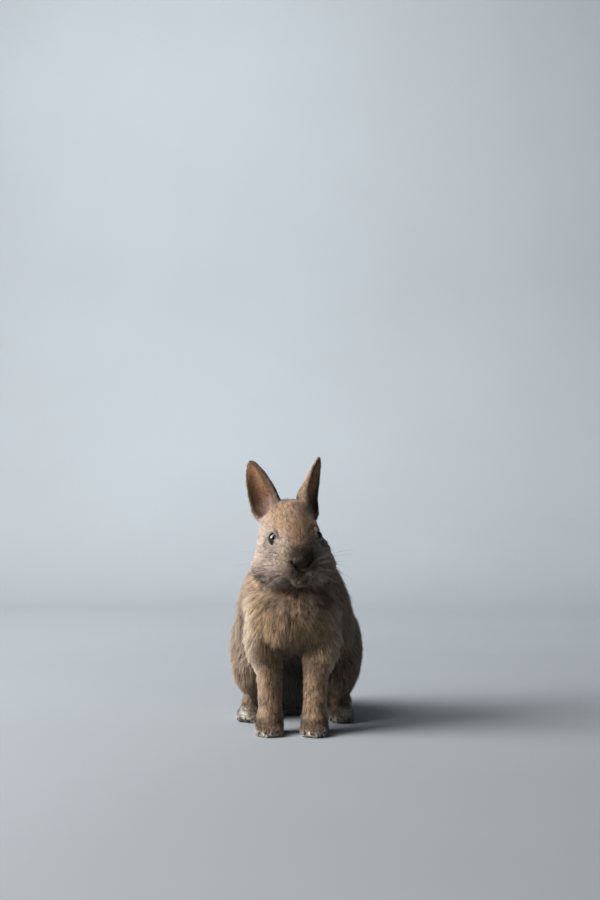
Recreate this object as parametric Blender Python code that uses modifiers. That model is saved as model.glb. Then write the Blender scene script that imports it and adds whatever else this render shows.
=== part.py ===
"""A life-size small rabbit that sits up on its haunches, as closed solids.

The body is modelled whole: slices lofted along the trunk, head and limbs, rounded forms
for the muscles, and cupped shells for the ears are merged into one surface, smoothed, and
then parted into named pieces by thin cuts. The solids show the outline of the coat. The
rabbit faces -Y, its left side is +X, and the floor is Z = 0.
"""

import math
from dataclasses import dataclass

import bmesh
import bpy
import numpy as np
from mathutils import Matrix, Vector

# Lengths in the tables below are in millimetres; MM turns them into metres.
MM = 0.001

# --- Driving dimensions -------------------------------------------------------------
NOSE = Vector((12.0, -52.0, 180.0))  # nose tip, which places the whole head
HEAD_TURN_DEG = 13.2  # the head looks to the rabbit's left of the body
HEAD_TILT_DEG = -2.6  # and leans a little to its right
SIDES = (("left", 1.0), ("right", -1.0))

GAP = 0.3  # left between two pieces by a cut
MERGE_VOXEL = 1.7  # grid on which the forms are merged into one surface
MERGE_ROUNDS = 9  # smoothing rounds after the merge
MERGE_FACTOR = 0.8  # how far each round moves a point
BODY_FACES = 4300  # triangles kept in the whole body before it is parted
KEEP_DETAIL = 1.5e-5  # how much more the head and feet keep of them
CUT_SEGMENTS = 20
RING_POINTS = 36
RING_STEPS = 5  # rings between two stations of a table
SOLE_DEPTH = -3.0  # the paws reach this far below the floor until it cuts them level
SHARP_EDGE_DEG = 50.0

# Where detail is kept. Each pair is where a zone ends and over how far it fades.
SOFT_ABOVE_TOES = (12.0, 20.0)
SOFT_BEHIND_NOSE = (22.0, 40.0)
SOFT_BELOW_EARS = (244.0, 12.0)
LEAST_SOFT = 0.25
HEAD_MIDDLE = (3.0, -12.0, 195.0)
DENSE_ROUND_HEAD = (50.0, 18.0)
DENSE_IN_FEET = (24.0, 10.0)
DENSE_EARS_FROM = 240.0
DENSITY = {"head": 0.9, "feet": 0.63, "ears": 0.54}
WEIGHT_STEPS = 10  # a vertex group's weights are rounded to this many steps

# Trunk slices: y, top z, bottom z, half width, pinch (narrower above, wider below).
TRUNK = (
    (-35.5, 127, 114, 6, 0.0),
    (-33.0, 136, 107, 18, 0.0),
    (-27.0, 143, 100, 31, 0.0),
    (-16.0, 152, 95, 43, 0.03),
    (0.0, 172, 90, 49, 0.05),
    (18.0, 190, 82, 54, 0.09),
    (35.0, 197, 69, 59, 0.13),
    (52.0, 194, 48, 63.5, 0.15),
    (72.0, 185, 22, 65.5, 0.15),
    (92.0, 171, 6, 65, 0.12),
    (112.0, 153, 4, 62, 0.08),
    (130.0, 133, 4, 57, 0.04),
    (147.0, 110, 5, 49, 0.0),
    (161.0, 86, 10, 38, 0.0),
    (170.0, 64, 18, 24, 0.0),
    (174.5, 50, 30, 8, 0.0),
)

# Head slices, from the nose backwards: distance, top, bottom and half width from the nose.
HEAD = (
    (0.0, 3.0, -5.0, 5.0, 0.0),
    (2.5, 9.0, -13.0, 10.5, 0.0),
    (8.0, 18.0, -20.0, 15.5, 0.0),
    (16.0, 29.0, -25.0, 20.0, 0.0),
    (26.0, 40.5, -28.0, 24.5, 0.03),
    (36.0, 49.5, -30.0, 28.5, 0.06),
    (46.0, 55.5, -31.0, 32.0, 0.10),
    (56.0, 58.0, -30.0, 34.5, 0.14),
    (66.0, 57.0, -26.0, 35.0, 0.15),
    (76.0, 52.0, -18.0, 32.5, 0.12),
    (86.0, 42.0, -6.0, 26.5, 0.05),
    (93.0, 29.0, 7.0, 16.0, 0.0),
    (96.0, 22.0, 14.0, 6.0, 0.0),
)


@dataclass(frozen=True)
class Form:
    """A rounded form: its middle, its three half sizes and its tilt about X and turn about Z."""

    centre: tuple
    half: tuple
    tilt_deg: float = 0.0
    turn_deg: float = 0.0


# Forms of the head, measured from the nose: x out to each side, y backwards, z up.
HEAD_PAIRS = {
    "cheek": Form((23.5, 48.0, -8.0), (20.5, 25.0, 20.0)),
    "cheekbone": Form((20.4, 48, 7), (18.2, 24, 18)),
    "jowl": Form((17.0, 33.0, -14.0), (17.0, 22.0, 15.5)),
    "whisker_pad": Form((8.8, 12.0, -8.0), (11.0, 14.0, 11.5), turn_deg=-14),
    "brow": Form((16.5, 35.5, 31.5), (8.0, 9.0, 6.5), tilt_deg=30, turn_deg=-8),
    "temple": Form((19.0, 61.0, 21.0), (10.2, 19.0, 18.0)),
}
HEAD_SINGLES = {
    "chin": Form((0.0, 15.5, -20.5), (11.0, 13.5, 9.0), tilt_deg=-10),
    "nose_bridge": Form((0.0, 15.0, 14.0), (10.5, 18.0, 8.0), tilt_deg=50),
    "nose": Form((0.0, 3.5, -1.0), (6.8, 5.4, 5.2)),
    "crown": Form((0.0, 60.0, 45.0), (21.0, 22.0, 13.5)),
}
EYE = Form((19.6, 33.0, 20.8), (8.1, 8.1, 8.1))
EYE_SOCKET_PLAY = 0.35
EYE_SEGMENTS = 14

BODY_SINGLES = {
    "neck": Form((-1.0, 25.0, 171.0), (38.0, 34.0, 35.0), tilt_deg=-30),
    "chest_ruff": Form((0.0, -8.0, 126.0), (44.0, 27.0, 31.0), tilt_deg=8),
    "throat": Form((4.0, -2.0, 157.0), (37.0, 24.0, 17.0), tilt_deg=-10),
    "rump": Form((0.0, 142.0, 66.0), (46.0, 34.0, 50.0), tilt_deg=24),
    "loose_thigh": Form((50.0, 98.0, 45.0), (16.5, 40.0, 25.0)),
}
TAIL = Form((0.0, 181.0, 40.0), (15.0, 14.0, 23.0), tilt_deg=-20)
BODY_PAIRS = {
    "shoulder": Form((32.0, 13.0, 106.0), (20.0, 31.0, 43.0), tilt_deg=-14),
    "elbow": Form((31.0, 17.0, 80.0), (15.0, 22.0, 24.0)),
    "thigh": Form((43.5, 104.0, 73.0), (31.5, 53.0, 56.0), tilt_deg=32),
    "knee": Form((49.5, 72.0, 57.0), (20.0, 25.0, 29.0), tilt_deg=10),
    "shin": Form((45.5, 112.0, 30.0), (16.0, 45.0, 22.0), tilt_deg=-6),
}

# Foreleg slices from the elbow to the wrist: z, x, y, half width, half depth.
FORELEG = (
    (104.0, 29.0, 10.0, 13.0, 19.0),
    (92.0, 27.5, 9.0, 17.0, 23.0),
    (76.0, 25.5, 6.0, 15.5, 19.5),
    (58.0, 24.2, 3.5, 13.8, 15.5),
    (40.0, 23.4, 1.5, 13.2, 13.6),
    (24.0, 23.0, 0.0, 13.2, 13.4),
    (13.0, 23.0, -2.0, 13.4, 14.0),
    (4.0, 23.0, -3.0, 12.4, 13.0),
    (-2.0, 23.0, -3.0, 9.0, 10.0),
)


@dataclass(frozen=True)
class Foot:
    """A paw: slices along Y (y, x, top z, half width) and the toes at its front."""

    slices: tuple
    toe_x: tuple  # middle of each toe
    toe_front_y: tuple
    toe_length: float
    toe_half_width: float
    toe_top: float
    splay_deg: float
    claw_length: float
    claw_half_width: float


# Every claw's shape, as shares of its own length and half width, and of its toe's height.
CLAW_RINGS = 4
CLAW_POINTS = 6
CLAW_DROOP_DEG = 34.0
CLAW_DROP = 0.9
CLAW_TAPER = 0.62
CLAW_TAPER_POWER = 1.4
CLAW_TALL = 1.15
CLAW_ROOT_HEIGHT = 0.38
CLAW_ROOT_BACK = 0.97


FOREPAW = Foot(
    slices=(
        (13.0, 23.0, 10.0, 5.0),
        (10.0, 23.0, 16.0, 11.0),
        (0.0, 23.0, 20.0, 13.8),
        (-10.0, 23.0, 17.5, 14.6),
        (-17.0, 23.0, 12.5, 13.4),
        (-21.0, 23.0, 8.0, 9.5),
    ),
    toe_x=(13.2, 19.6, 26.4, 32.8),
    toe_front_y=(-22.5, -26.5, -26.5, -22.0),
    toe_length=15.0,
    toe_half_width=4.2,
    toe_top=11.5,
    splay_deg=8.0,
    claw_length=4.6,
    claw_half_width=1.3,
)
HINDFOOT = Foot(
    slices=(
        (150.0, 44.0, 10.0, 5.0),
        (146.0, 44.0, 20.0, 10.5),
        (130.0, 44.5, 25.0, 13.0),
        (108.0, 46.0, 24.0, 13.8),
        (88.0, 48.0, 20.5, 14.6),
        (72.0, 49.0, 16.0, 15.0),
        (64.0, 49.0, 10.5, 12.0),
    ),
    toe_x=(38.8, 45.6, 52.6, 59.0),
    toe_front_y=(58.5, 54.5, 55.5, 61.0),
    toe_length=19.0,
    toe_half_width=4.5,
    toe_top=12.0,
    splay_deg=5.0,
    claw_length=5.4,
    claw_half_width=1.45,
)


@dataclass(frozen=True)
class Ear:
    """A cupped leaf on the crown. Angles: how it leans out and back, and where it opens."""

    base: tuple  # from the nose
    tip: tuple  # from the nose
    opens_deg: float  # 0 faces forwards, 90 out to the ear's own side
    length_share: tuple = (0.0, 0.12, 0.3, 0.48, 0.66, 0.82, 0.93, 1.0)
    half_width: tuple = (7.6, 11.0, 14.8, 14.8, 12.8, 9.6, 6.0, 2.6)
    cup_deg: tuple = (150, 130, 102, 80, 66, 56, 48, 40)
    thickness: tuple = (6.6, 5.6, 4.6, 4.2, 4.0, 3.8, 3.6, 3.2)


EARS = {
    "left": Ear((21.0, 66.0, 35.0), (39.0, 75.0, 102.5), opens_deg=58.0),
    "right": Ear((-18.0, 66.0, 34.5), (-36.5, 75.0, 102.0), opens_deg=29.0),
}

# Where the whole is parted. Each region is a closed form; what lies inside it is the piece.
EAR_CUT_SHARE = 0.29  # share of the ear's length that stays in the head
EAR_CUT_REACH = (19.0, 18.6)  # how far its region reaches across the ear and through it
HEAD_OUTLINE = ((-20, -33), (36, -33), (96, 35), (96, 80), (-20, 80))  # y, z from the nose
NECK_OUTLINE = ((-60, 141), (-12, 141), (76, 186), (76, 250), (-60, 250))  # y, z
OUTLINE_REACH = 90.0  # how far these two outlines reach out to each side
FORELEG_REGION = Form((31.0, 6.0, 40.0), (27.0, 34.0, 66.0))
HAUNCH_REGION = Form((70.0, 100.0, 56.0), (48.0, 74.0, 76.0))
TAIL_REGION = Form((0.0, 189.0, 40.0), (26.0, 19.0, 32.0), tilt_deg=-12)
FOREPAW_BOX = ((4.0, -45.0, -6.0), (52.0, 40.0, 20.5))
HINDFOOT_BOX = ((26.0, 42.0, -6.0), (90.0, 170.0, 17.5))
BELOW_FLOOR = ((-200.0, -200.0, -60.0), (200.0, 300.0, 0.0))

COLOURS = {
    "coat": (0.34, 0.22, 0.13, 1.0),
    "ear": (0.32, 0.20, 0.14, 1.0),
    "paw": (0.42, 0.30, 0.20, 1.0),
    "eye": (0.03, 0.015, 0.01, 1.0),
    "claw": (0.30, 0.22, 0.17, 1.0),
}
ROUGHNESS = {"coat": 0.9, "ear": 0.85, "paw": 0.9, "eye": 0.08, "claw": 0.45}


# --- Scene and materials ------------------------------------------------------------
def clear_scene():
    for obj in list(bpy.data.objects):
        bpy.data.objects.remove(obj, do_unlink=True)


def new_collection(name):
    collection = bpy.data.collections.new(name)
    bpy.context.scene.collection.children.link(collection)
    return collection


def make_material(kind):
    material = bpy.data.materials.new(kind)
    material.use_nodes = True
    shader = material.node_tree.nodes["Principled BSDF"]
    shader.inputs["Base Color"].default_value = COLOURS[kind]
    shader.inputs["Roughness"].default_value = ROUGHNESS[kind]
    shader.inputs["Metallic"].default_value = 0.0
    return material


def link_object(name, mesh, collection):
    obj = bpy.data.objects.new(name, mesh)
    collection.objects.link(obj)
    return obj


def remove_object(obj):
    bpy.data.objects.remove(obj, do_unlink=True)


# --- Lofts and forms ----------------------------------------------------------------
def smooth_rows(table, steps):
    """Rows between a table's rows, on a cubic through them with slopes from their neighbours."""
    rows = np.array(table, float)
    slopes = np.gradient(rows, axis=0)
    share = np.arange(steps)[:, None] / steps
    blend = share * share * (3 - 2 * share)
    filled = []
    for here, there, leave, arrive in zip(rows[:-1], rows[1:], slopes[:-1], slopes[1:]):
        bend = share * (1 - share) ** 2 * leave - share**2 * (1 - share) * arrive
        filled.append(here + (there - here) * blend + bend)
    filled.append(rows[-1:])
    return np.concatenate(filled)


def ring_angles():
    return np.linspace(0.0, 2 * math.pi, RING_POINTS, endpoint=False)


def upright_rings(table):
    """Egg-shaped rings across Y from rows of y, top z, bottom z, half width and pinch."""
    angle = ring_angles()
    y, top, bottom, half_width, pinch = (
        column[:, None] for column in smooth_rows(table, RING_STEPS).T
    )
    height, middle = np.maximum(top - bottom, 0.5) / 2, (top + bottom) / 2
    x = half_width * np.cos(angle) * (1 - pinch * np.sin(angle))
    return np.stack([x, y + 0 * x, middle + height * np.sin(angle)], axis=-1)


def level_rings(table):
    """Oval rings across Z from rows of z, x, y, half width and half depth."""
    angle = ring_angles()
    z, x, y, half_width, half_depth = (
        column[:, None] for column in smooth_rows(table, RING_STEPS).T
    )
    across = x + half_width * np.cos(angle)
    return np.stack([across, y + half_depth * np.sin(angle), z + 0 * across], axis=-1)


def foot_rings(foot):
    """Rings across Y for a paw that lies on the floor: flat-bottomed ovals."""
    angle = ring_angles()
    y, x, top, half_width = (
        column[:, None] for column in smooth_rows(foot.slices, RING_STEPS).T
    )
    across = x + half_width * np.cos(angle)
    height = (top + SOLE_DEPTH) / 2 + (top - SOLE_DEPTH) / 2 * np.sin(angle)
    return np.stack([across, y + 0 * across, height], axis=-1)


def skin_rings(rings):
    """A closed mesh over rings of points, in bmesh, with a face at each end."""
    shape = bmesh.new()
    loops = [[shape.verts.new(Vector(p)) for p in ring] for ring in rings]
    for first, second in zip(loops[:-1], loops[1:]):
        for i in range(len(first)):
            j = (i + 1) % len(first)
            shape.faces.new((first[i], first[j], second[j], second[i]))
    shape.faces.new(loops[0][::-1])
    shape.faces.new(loops[-1])
    bmesh.ops.recalc_face_normals(shape, faces=shape.faces)
    return shape


def form_matrix(form, side=1.0):
    """Where a form stands; side -1 is its mirror image across X."""
    x, y, z = form.centre
    turn = Matrix.Rotation(math.radians(form.turn_deg) * side, 4, "Z")
    tilt = Matrix.Rotation(math.radians(form.tilt_deg), 4, "X")
    return Matrix.Translation((x * side, y, z)) @ turn @ tilt @ Matrix.Diagonal((*form.half, 1))


def rounded(form, side=1.0, grow=0.0, segments=32):
    """A sphere stretched to a form, or to one that is larger all round by grow."""
    bigger = Form(form.centre, tuple(h + grow for h in form.half), form.tilt_deg, form.turn_deg)
    shape = bmesh.new()
    bmesh.ops.create_uvsphere(
        shape,
        u_segments=segments,
        v_segments=segments // 2,
        radius=1.0,
        matrix=form_matrix(bigger, side),
    )
    return shape


def block(low, high, side=1.0, grow=0.0):
    """A box between two corners, or one that is larger all round by grow."""
    low, high = Vector(low) - Vector((grow,) * 3), Vector(high) + Vector((grow,) * 3)
    middle, size = (low + high) / 2, high - low
    place = Matrix.Translation((middle.x * side, middle.y, middle.z))
    shape = bmesh.new()
    bmesh.ops.create_cube(shape, size=1.0, matrix=place @ Matrix.Diagonal((*size, 1)))
    return shape


def prism(outline, grow=0.0):
    """An outline in Y and Z carried across X, or one that is larger all round by grow."""
    count = len(outline)
    sides = []
    for i, (y, z) in enumerate(outline):
        (y0, z0), (y1, z1) = outline[i - 1], outline[(i + 1) % count]
        before, after = Vector((y - y0, z - z0)).normalized(), Vector((y1 - y, z1 - z)).normalized()
        out = Vector((before.y + after.y, -before.x - after.x)).normalized()
        miter = grow / max(out.dot(Vector((after.y, -after.x))), 0.5)
        sides.append(Vector((y, z)) + out * miter)
    rings = [[(x, p.x, p.y) for p in sides] for x in (-OUTLINE_REACH - grow, OUTLINE_REACH + grow)]
    return skin_rings(rings)


def toe_forms(foot):
    """A long rounded form for each toe, turned by its splay."""
    middle = sum(foot.toe_x) / len(foot.toe_x)
    spread = max(foot.toe_x) - middle
    for x, front in zip(foot.toe_x, foot.toe_front_y):
        splay = foot.splay_deg * (x - middle) / spread
        centre = (x, front + foot.toe_length / 2, foot.toe_top / 2 - 1.0)
        half = (foot.toe_half_width, foot.toe_length / 2, foot.toe_top / 2 + 1.0)
        yield Form(centre, half, turn_deg=splay)


# --- Placing the head ---------------------------------------------------------------
def head_matrix():
    """From lengths measured at the nose to the body's frame."""
    turn = Matrix.Rotation(math.radians(HEAD_TURN_DEG), 4, "Z")
    tilt = Matrix.Rotation(math.radians(HEAD_TILT_DEG), 4, "Y")
    return Matrix.Translation(NOSE) @ turn @ tilt


# --- Ears ---------------------------------------------------------------------------
def ear_frame(side, ear):
    """Across, outward (where the cup opens) and along axes of an ear, in the head's lengths."""
    along = (Vector(ear.tip) - Vector(ear.base)).normalized()
    opens = math.radians(ear.opens_deg) * (1.0 if side == "left" else -1.0)
    outward = Vector((math.sin(opens), -math.cos(opens), 0.0))
    outward = (outward - along * outward.dot(along)).normalized()
    return along.cross(outward).normalized(), outward, along


def ear_rows(ear, rows):
    """The ear's share, half width, cup angle and thickness at evenly spaced rows."""
    share = np.linspace(0.0, 1.0, rows)
    known = (ear.half_width, ear.cup_deg, ear.thickness)
    return (share, *(np.interp(share, ear.length_share, values) for values in known))


def ear_object(side, ear, collection, rows=26, columns=17):
    """An open cupped leaf, given its thickness by Solidify."""
    across, outward, along = (np.array(a) for a in ear_frame(side, ear))
    share, half_width, cup_deg, thickness = (c[:, None] for c in ear_rows(ear, rows))
    cup = np.radians(cup_deg)
    radius = half_width / np.sin(np.minimum(cup, math.pi / 2))
    bend = np.linspace(-1.0, 1.0, columns) * cup
    sideways = radius * np.sin(bend)
    depth = radius * (np.cos(np.minimum(cup, math.pi / 2)) - np.cos(bend))
    length = (Vector(ear.tip) - Vector(ear.base)).length
    points = (
        np.array(ear.base)
        + sideways[..., None] * across
        + depth[..., None] * outward
        + (share * length + 0 * bend)[..., None] * along
    )
    mesh = bpy.data.meshes.new("ear_leaf_" + side)
    quads = [
        (r * columns + c, r * columns + c + 1, (r + 1) * columns + c + 1, (r + 1) * columns + c)
        for r in range(rows - 1)
        for c in range(columns - 1)
    ]
    mesh.from_pydata((points.reshape(-1, 3) * MM).tolist(), [], quads)
    mesh.transform(scaled_head_matrix())
    obj = link_object("ear_leaf_" + side, mesh, collection)
    group = obj.vertex_groups.new(name="thickness")
    thickest = float(thickness.max())
    for r in range(rows):
        members = list(range(r * columns, (r + 1) * columns))
        group.add(members, float(thickness[r, 0]) / thickest, "REPLACE")
    shell = obj.modifiers.new("Shell", "SOLIDIFY")
    shell.thickness = thickest * MM
    shell.offset = 0.0
    shell.vertex_group = group.name
    return obj


def scaled_head_matrix():
    """head_matrix for points that are already in metres."""
    place = head_matrix()
    place.translation = place.translation * MM
    return place


# --- Merging the forms --------------------------------------------------------------
def finish_shape(shape, matrix, name, collection):
    """A bmesh in millimetres as an object in metres."""
    bmesh.ops.transform(shape, matrix=Matrix.Scale(MM, 4) @ matrix, verts=shape.verts)
    bmesh.ops.recalc_face_normals(shape, faces=shape.faces)
    mesh = bpy.data.meshes.new(name)
    shape.to_mesh(mesh)
    shape.free()
    return link_object(name, mesh, collection)


def mirrored(shape):
    """The mirror image of a shape across X, its faces turned to point out again."""
    bmesh.ops.scale(shape, vec=(-1, 1, 1), verts=shape.verts)
    bmesh.ops.reverse_faces(shape, faces=shape.faces)
    return shape


def body_shapes():
    """Every form of the body, as (name, bmesh in millimetres, matrix)."""
    still, head = Matrix.Identity(4), head_matrix()
    yield "trunk", skin_rings(upright_rings(TRUNK)), still
    yield "head", skin_rings(upright_rings(HEAD)), head
    for name, form in BODY_SINGLES.items():
        yield name, rounded(form), still
    yield "tail", rounded(TAIL), still
    for name, form in HEAD_SINGLES.items():
        yield name, rounded(form), head
    for side_name, side in SIDES:
        for name, form in BODY_PAIRS.items():
            yield f"{name}_{side_name}", rounded(form, side), still
        for name, form in HEAD_PAIRS.items():
            yield f"{name}_{side_name}", rounded(form, side), head
        legs = [skin_rings(level_rings(FORELEG))]
        for foot in (FOREPAW, HINDFOOT):
            legs.append(skin_rings(foot_rings(foot)))
            legs.extend(rounded(toe, segments=16) for toe in toe_forms(foot))
        for i, leg in enumerate(legs):
            yield f"leg_{side_name}_{i}", leg if side > 0 else mirrored(leg), still


def baked_mesh(obj, name):
    """The object's mesh with its modifiers applied, in the world's frame."""
    graph = bpy.context.evaluated_depsgraph_get()
    mesh = bpy.data.meshes.new_from_object(obj.evaluated_get(graph))
    mesh.name = name
    mesh.transform(obj.matrix_world)
    return mesh


def merge_forms(collection):
    """One smooth closed surface around every form."""
    objects = [finish_shape(s, m, n, collection) for n, s, m in body_shapes()]
    objects += [ear_object(side, ear, collection) for side, ear in EARS.items()]
    bpy.context.view_layer.update()
    joined = bmesh.new()
    for obj in objects:
        mesh = baked_mesh(obj, "form")
        joined.from_mesh(mesh)
        bpy.data.meshes.remove(mesh)
        remove_object(obj)
    mesh = bpy.data.meshes.new("whole")
    joined.to_mesh(mesh)
    joined.free()
    whole = link_object("whole", mesh, collection)
    merge = whole.modifiers.new("Merge", "REMESH")
    merge.mode = "VOXEL"
    merge.voxel_size = MERGE_VOXEL * MM
    replace_mesh(whole)
    return whole


def replace_mesh(obj):
    """Applies an object's modifiers."""
    bpy.context.view_layer.update()
    mesh = baked_mesh(obj, obj.name)
    obj.modifiers.clear()
    obj.vertex_groups.clear()
    obj.data = mesh


def weigh(obj, name, value):
    """A vertex group whose weights come from value(points in millimetres)."""
    points = np.empty(len(obj.data.vertices) * 3)
    obj.data.vertices.foreach_get("co", points)
    weights = np.clip(value(points.reshape(-1, 3) / MM), 0.0, 1.0)
    group = obj.vertex_groups.new(name=name)
    for step in range(WEIGHT_STEPS + 1):
        members = np.flatnonzero(np.round(weights * WEIGHT_STEPS) == step)
        group.add(members.tolist(), step / WEIGHT_STEPS, "REPLACE")
    return group.name


def beyond(distance, zone):
    """0 up to where a zone ends, 1 once it has faded."""
    end, fade = zone
    return np.clip((distance - end) / fade, 0, 1)


def softness(points):
    """1 on the thick furry body, less on the face, ears and toes, which keep their detail."""
    height = points[:, 2]
    toes = beyond(height, SOFT_ABOVE_TOES)
    face = beyond(np.linalg.norm(points - np.array(NOSE), axis=1), SOFT_BEHIND_NOSE)
    ears_end, ears_fade = SOFT_BELOW_EARS
    ears = beyond(-height, (-ears_end, ears_fade))
    return LEAST_SOFT + (1 - LEAST_SOFT) * np.minimum(np.minimum(toes, face), ears)


def plainness(points):
    """Where triangles can best be spared: 1 on the trunk, less on the feet, least on the head."""
    height = points[:, 2]
    from_head = np.linalg.norm(points - np.array(HEAD_MIDDLE), axis=1)
    head = 1 - beyond(from_head, DENSE_ROUND_HEAD)
    feet_end, feet_fade = DENSE_IN_FEET
    feet = beyond(-height, (-feet_end, feet_fade))
    ears = height > DENSE_EARS_FROM
    dense = np.maximum(DENSITY["head"] * head, DENSITY["feet"] * feet)
    return 1 - np.maximum(dense, DENSITY["ears"] * ears)


def smooth_and_thin(whole):
    """Rounds off the creases between forms, then keeps the triangles that the shape needs."""
    rounding = whole.modifiers.new("Rounding", "SMOOTH")
    rounding.factor = MERGE_FACTOR
    rounding.iterations = MERGE_ROUNDS
    rounding.vertex_group = weigh(whole, "softness", softness)
    replace_mesh(whole)
    thin = whole.modifiers.new("Thin", "DECIMATE")
    thin.ratio = BODY_FACES / (2 * len(whole.data.polygons))
    thin.vertex_group = weigh(whole, "plainness", plainness)
    thin.vertex_group_factor = KEEP_DETAIL
    replace_mesh(whole)


# --- Parting the whole --------------------------------------------------------------
def boolean(target, cutter, operation):
    step = target.modifiers.new(operation.title(), "BOOLEAN")
    step.operation = operation
    step.solver = "EXACT"
    step.object = cutter
    replace_mesh(target)


def part_off(rest, make_region, name, matrix, parts, cutters):
    """Takes what lies inside a region off rest as its own object, leaving a gap at the cut.

    make_region(grow) gives the region's bmesh, larger all round by grow.
    """
    piece = link_object(name, rest.data.copy(), parts)
    for target, grow, operation in ((piece, 0.0, "INTERSECT"), (rest, GAP, "DIFFERENCE")):
        cutter = finish_shape(make_region(grow), matrix, "cut_" + name, cutters)
        cutter.hide_render = True
        cutter.display_type = "WIRE"
        boolean(target, cutter, operation)
        remove_object(cutter)
    return piece


def ear_region(side, ear):
    """A box from the ear's base upwards, as a function of how much it grows."""
    across, outward, along = ear_frame(side, ear)
    length = (Vector(ear.tip) - Vector(ear.base)).length
    start = Vector(ear.base) + along * (length * EAR_CUT_SHARE)
    turn = Matrix((across, outward, along)).transposed().to_4x4()
    place = Matrix.Translation(start) @ turn
    wide, deep = EAR_CUT_REACH

    def region(grow):
        shape = block((-wide, -deep, 0), (wide, deep, length), grow=grow)
        bmesh.ops.transform(shape, matrix=place, verts=shape.verts)
        return shape

    return region


def part_whole(whole, parts, cutters):
    """Parts the whole into the pieces that a person would name."""
    still, head = Matrix.Identity(4), head_matrix()

    def form_region(form, side=1.0):
        return lambda grow: rounded(form, side, grow, CUT_SEGMENTS)

    def outline_region(outline):
        return lambda grow: prism(outline, grow)

    def box_region(corners, side=1.0):
        return lambda grow: block(*corners, side, grow)

    for side, ear in EARS.items():
        part_off(whole, ear_region(side, ear), "ear_" + side, head, parts, cutters)
    skull = part_off(whole, outline_region(HEAD_OUTLINE), "head", head, parts, cutters)
    part_off(whole, outline_region(NECK_OUTLINE), "neck", still, parts, cutters)
    part_off(whole, form_region(TAIL_REGION), "tail", still, parts, cutters)
    for side_name, side in SIDES:
        regions = (
            ("forepaw_", box_region(FOREPAW_BOX, side)),
            ("foreleg_", form_region(FORELEG_REGION, side)),
            ("hindfoot_", box_region(HINDFOOT_BOX, side)),
            ("haunch_", form_region(HAUNCH_REGION, side)),
        )
        for name, region in regions:
            part_off(whole, region, name + side_name, still, parts, cutters)
    whole.name = "trunk"
    parts.objects.link(whole)
    cutters.objects.unlink(whole)
    return skull


def level_floor(whole, cutters):
    """Cuts the soles level at Z = 0."""
    floor = finish_shape(block(*BELOW_FLOOR), Matrix.Identity(4), "floor", cutters)
    floor.hide_render = True
    boolean(whole, floor, "DIFFERENCE")
    remove_object(floor)


# --- Eyes and claws -----------------------------------------------------------------
def add_eyes(skull, parts, cutters):
    """A ball in a socket on each side of the head."""
    for side_name, side in SIDES:
        socket = finish_shape(
            rounded(EYE, side, EYE_SOCKET_PLAY, EYE_SEGMENTS), head_matrix(), "socket", cutters
        )
        socket.hide_render = True
        boolean(skull, socket, "DIFFERENCE")
        remove_object(socket)
        finish_shape(rounded(EYE, side, 0.0, EYE_SEGMENTS), head_matrix(), "eye_" + side_name, parts)


def claw_shape(foot, toe):
    """A short curved spike: rings that shrink and droop towards its tip."""
    share = np.linspace(0.0, 1.0, CLAW_RINGS)[:, None]
    droop = math.radians(CLAW_DROOP_DEG) * share
    radius = foot.claw_half_width * (1 - CLAW_TAPER * share**CLAW_TAPER_POWER)
    run = foot.claw_length * share
    angle = np.linspace(0, 2 * math.pi, CLAW_POINTS, endpoint=False)
    x = radius * np.cos(angle)
    lift = radius * np.sin(angle) * CLAW_TALL
    y = -run - lift * np.sin(droop)
    z = lift * np.cos(droop) - CLAW_DROP * run * np.sin(droop)
    shape = skin_rings(np.stack([x, y, z], axis=-1))
    turn = Matrix.Rotation(math.radians(toe.turn_deg), 4, "Z")
    root_y = toe.centre[1] - toe.half[1] * CLAW_ROOT_BACK
    root = Vector((toe.centre[0], root_y, foot.toe_top * CLAW_ROOT_HEIGHT))
    bmesh.ops.transform(shape, matrix=Matrix.Translation(root) @ turn, verts=shape.verts)
    return shape


def add_claws(parts, cutters):
    """A claw at each toe tip, trimmed where the paw begins."""
    still = Matrix.Identity(4)
    for side_name, side in SIDES:
        for foot_name, foot in (("forepaw", FOREPAW), ("hindfoot", HINDFOOT)):
            paw = parts.objects[f"{foot_name}_{side_name}"]
            for number, toe in enumerate(toe_forms(foot), start=1):
                shape = claw_shape(foot, toe)
                name = f"claw_{foot_name}_{side_name}_{number}"
                claw = finish_shape(shape if side > 0 else mirrored(shape), still, name, parts)
                boolean(claw, paw, "DIFFERENCE")
                keep_front(claw)


def keep_front(claw):
    """Keeps the claw's front body, drawn back from the paw by the gap."""
    shape = bmesh.new()
    shape.from_mesh(claw.data)
    seen, bodies = set(), []
    for vert in shape.verts:
        if vert in seen:
            continue
        body, queue = [], [vert]
        seen.add(vert)
        while queue:
            here = queue.pop()
            body.append(here)
            for edge in here.link_edges:
                there = edge.other_vert(here)
                if there not in seen:
                    seen.add(there)
                    queue.append(there)
        bodies.append(body)
    front = min(bodies, key=lambda body: min(v.co.y for v in body))
    others = [v for body in bodies if body is not front for v in body]
    bmesh.ops.delete(shape, geom=others, context="VERTS")
    bmesh.ops.translate(shape, vec=(0, -GAP * MM, 0), verts=shape.verts)
    shape.to_mesh(claw.data)
    shape.free()


# --- Finishing ----------------------------------------------------------------------
def material_kind(name):
    for kind in ("ear", "eye", "claw"):
        if name.startswith(kind):
            return kind
    return "paw" if name.startswith(("forepaw", "hindfoot")) else "coat"


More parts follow.
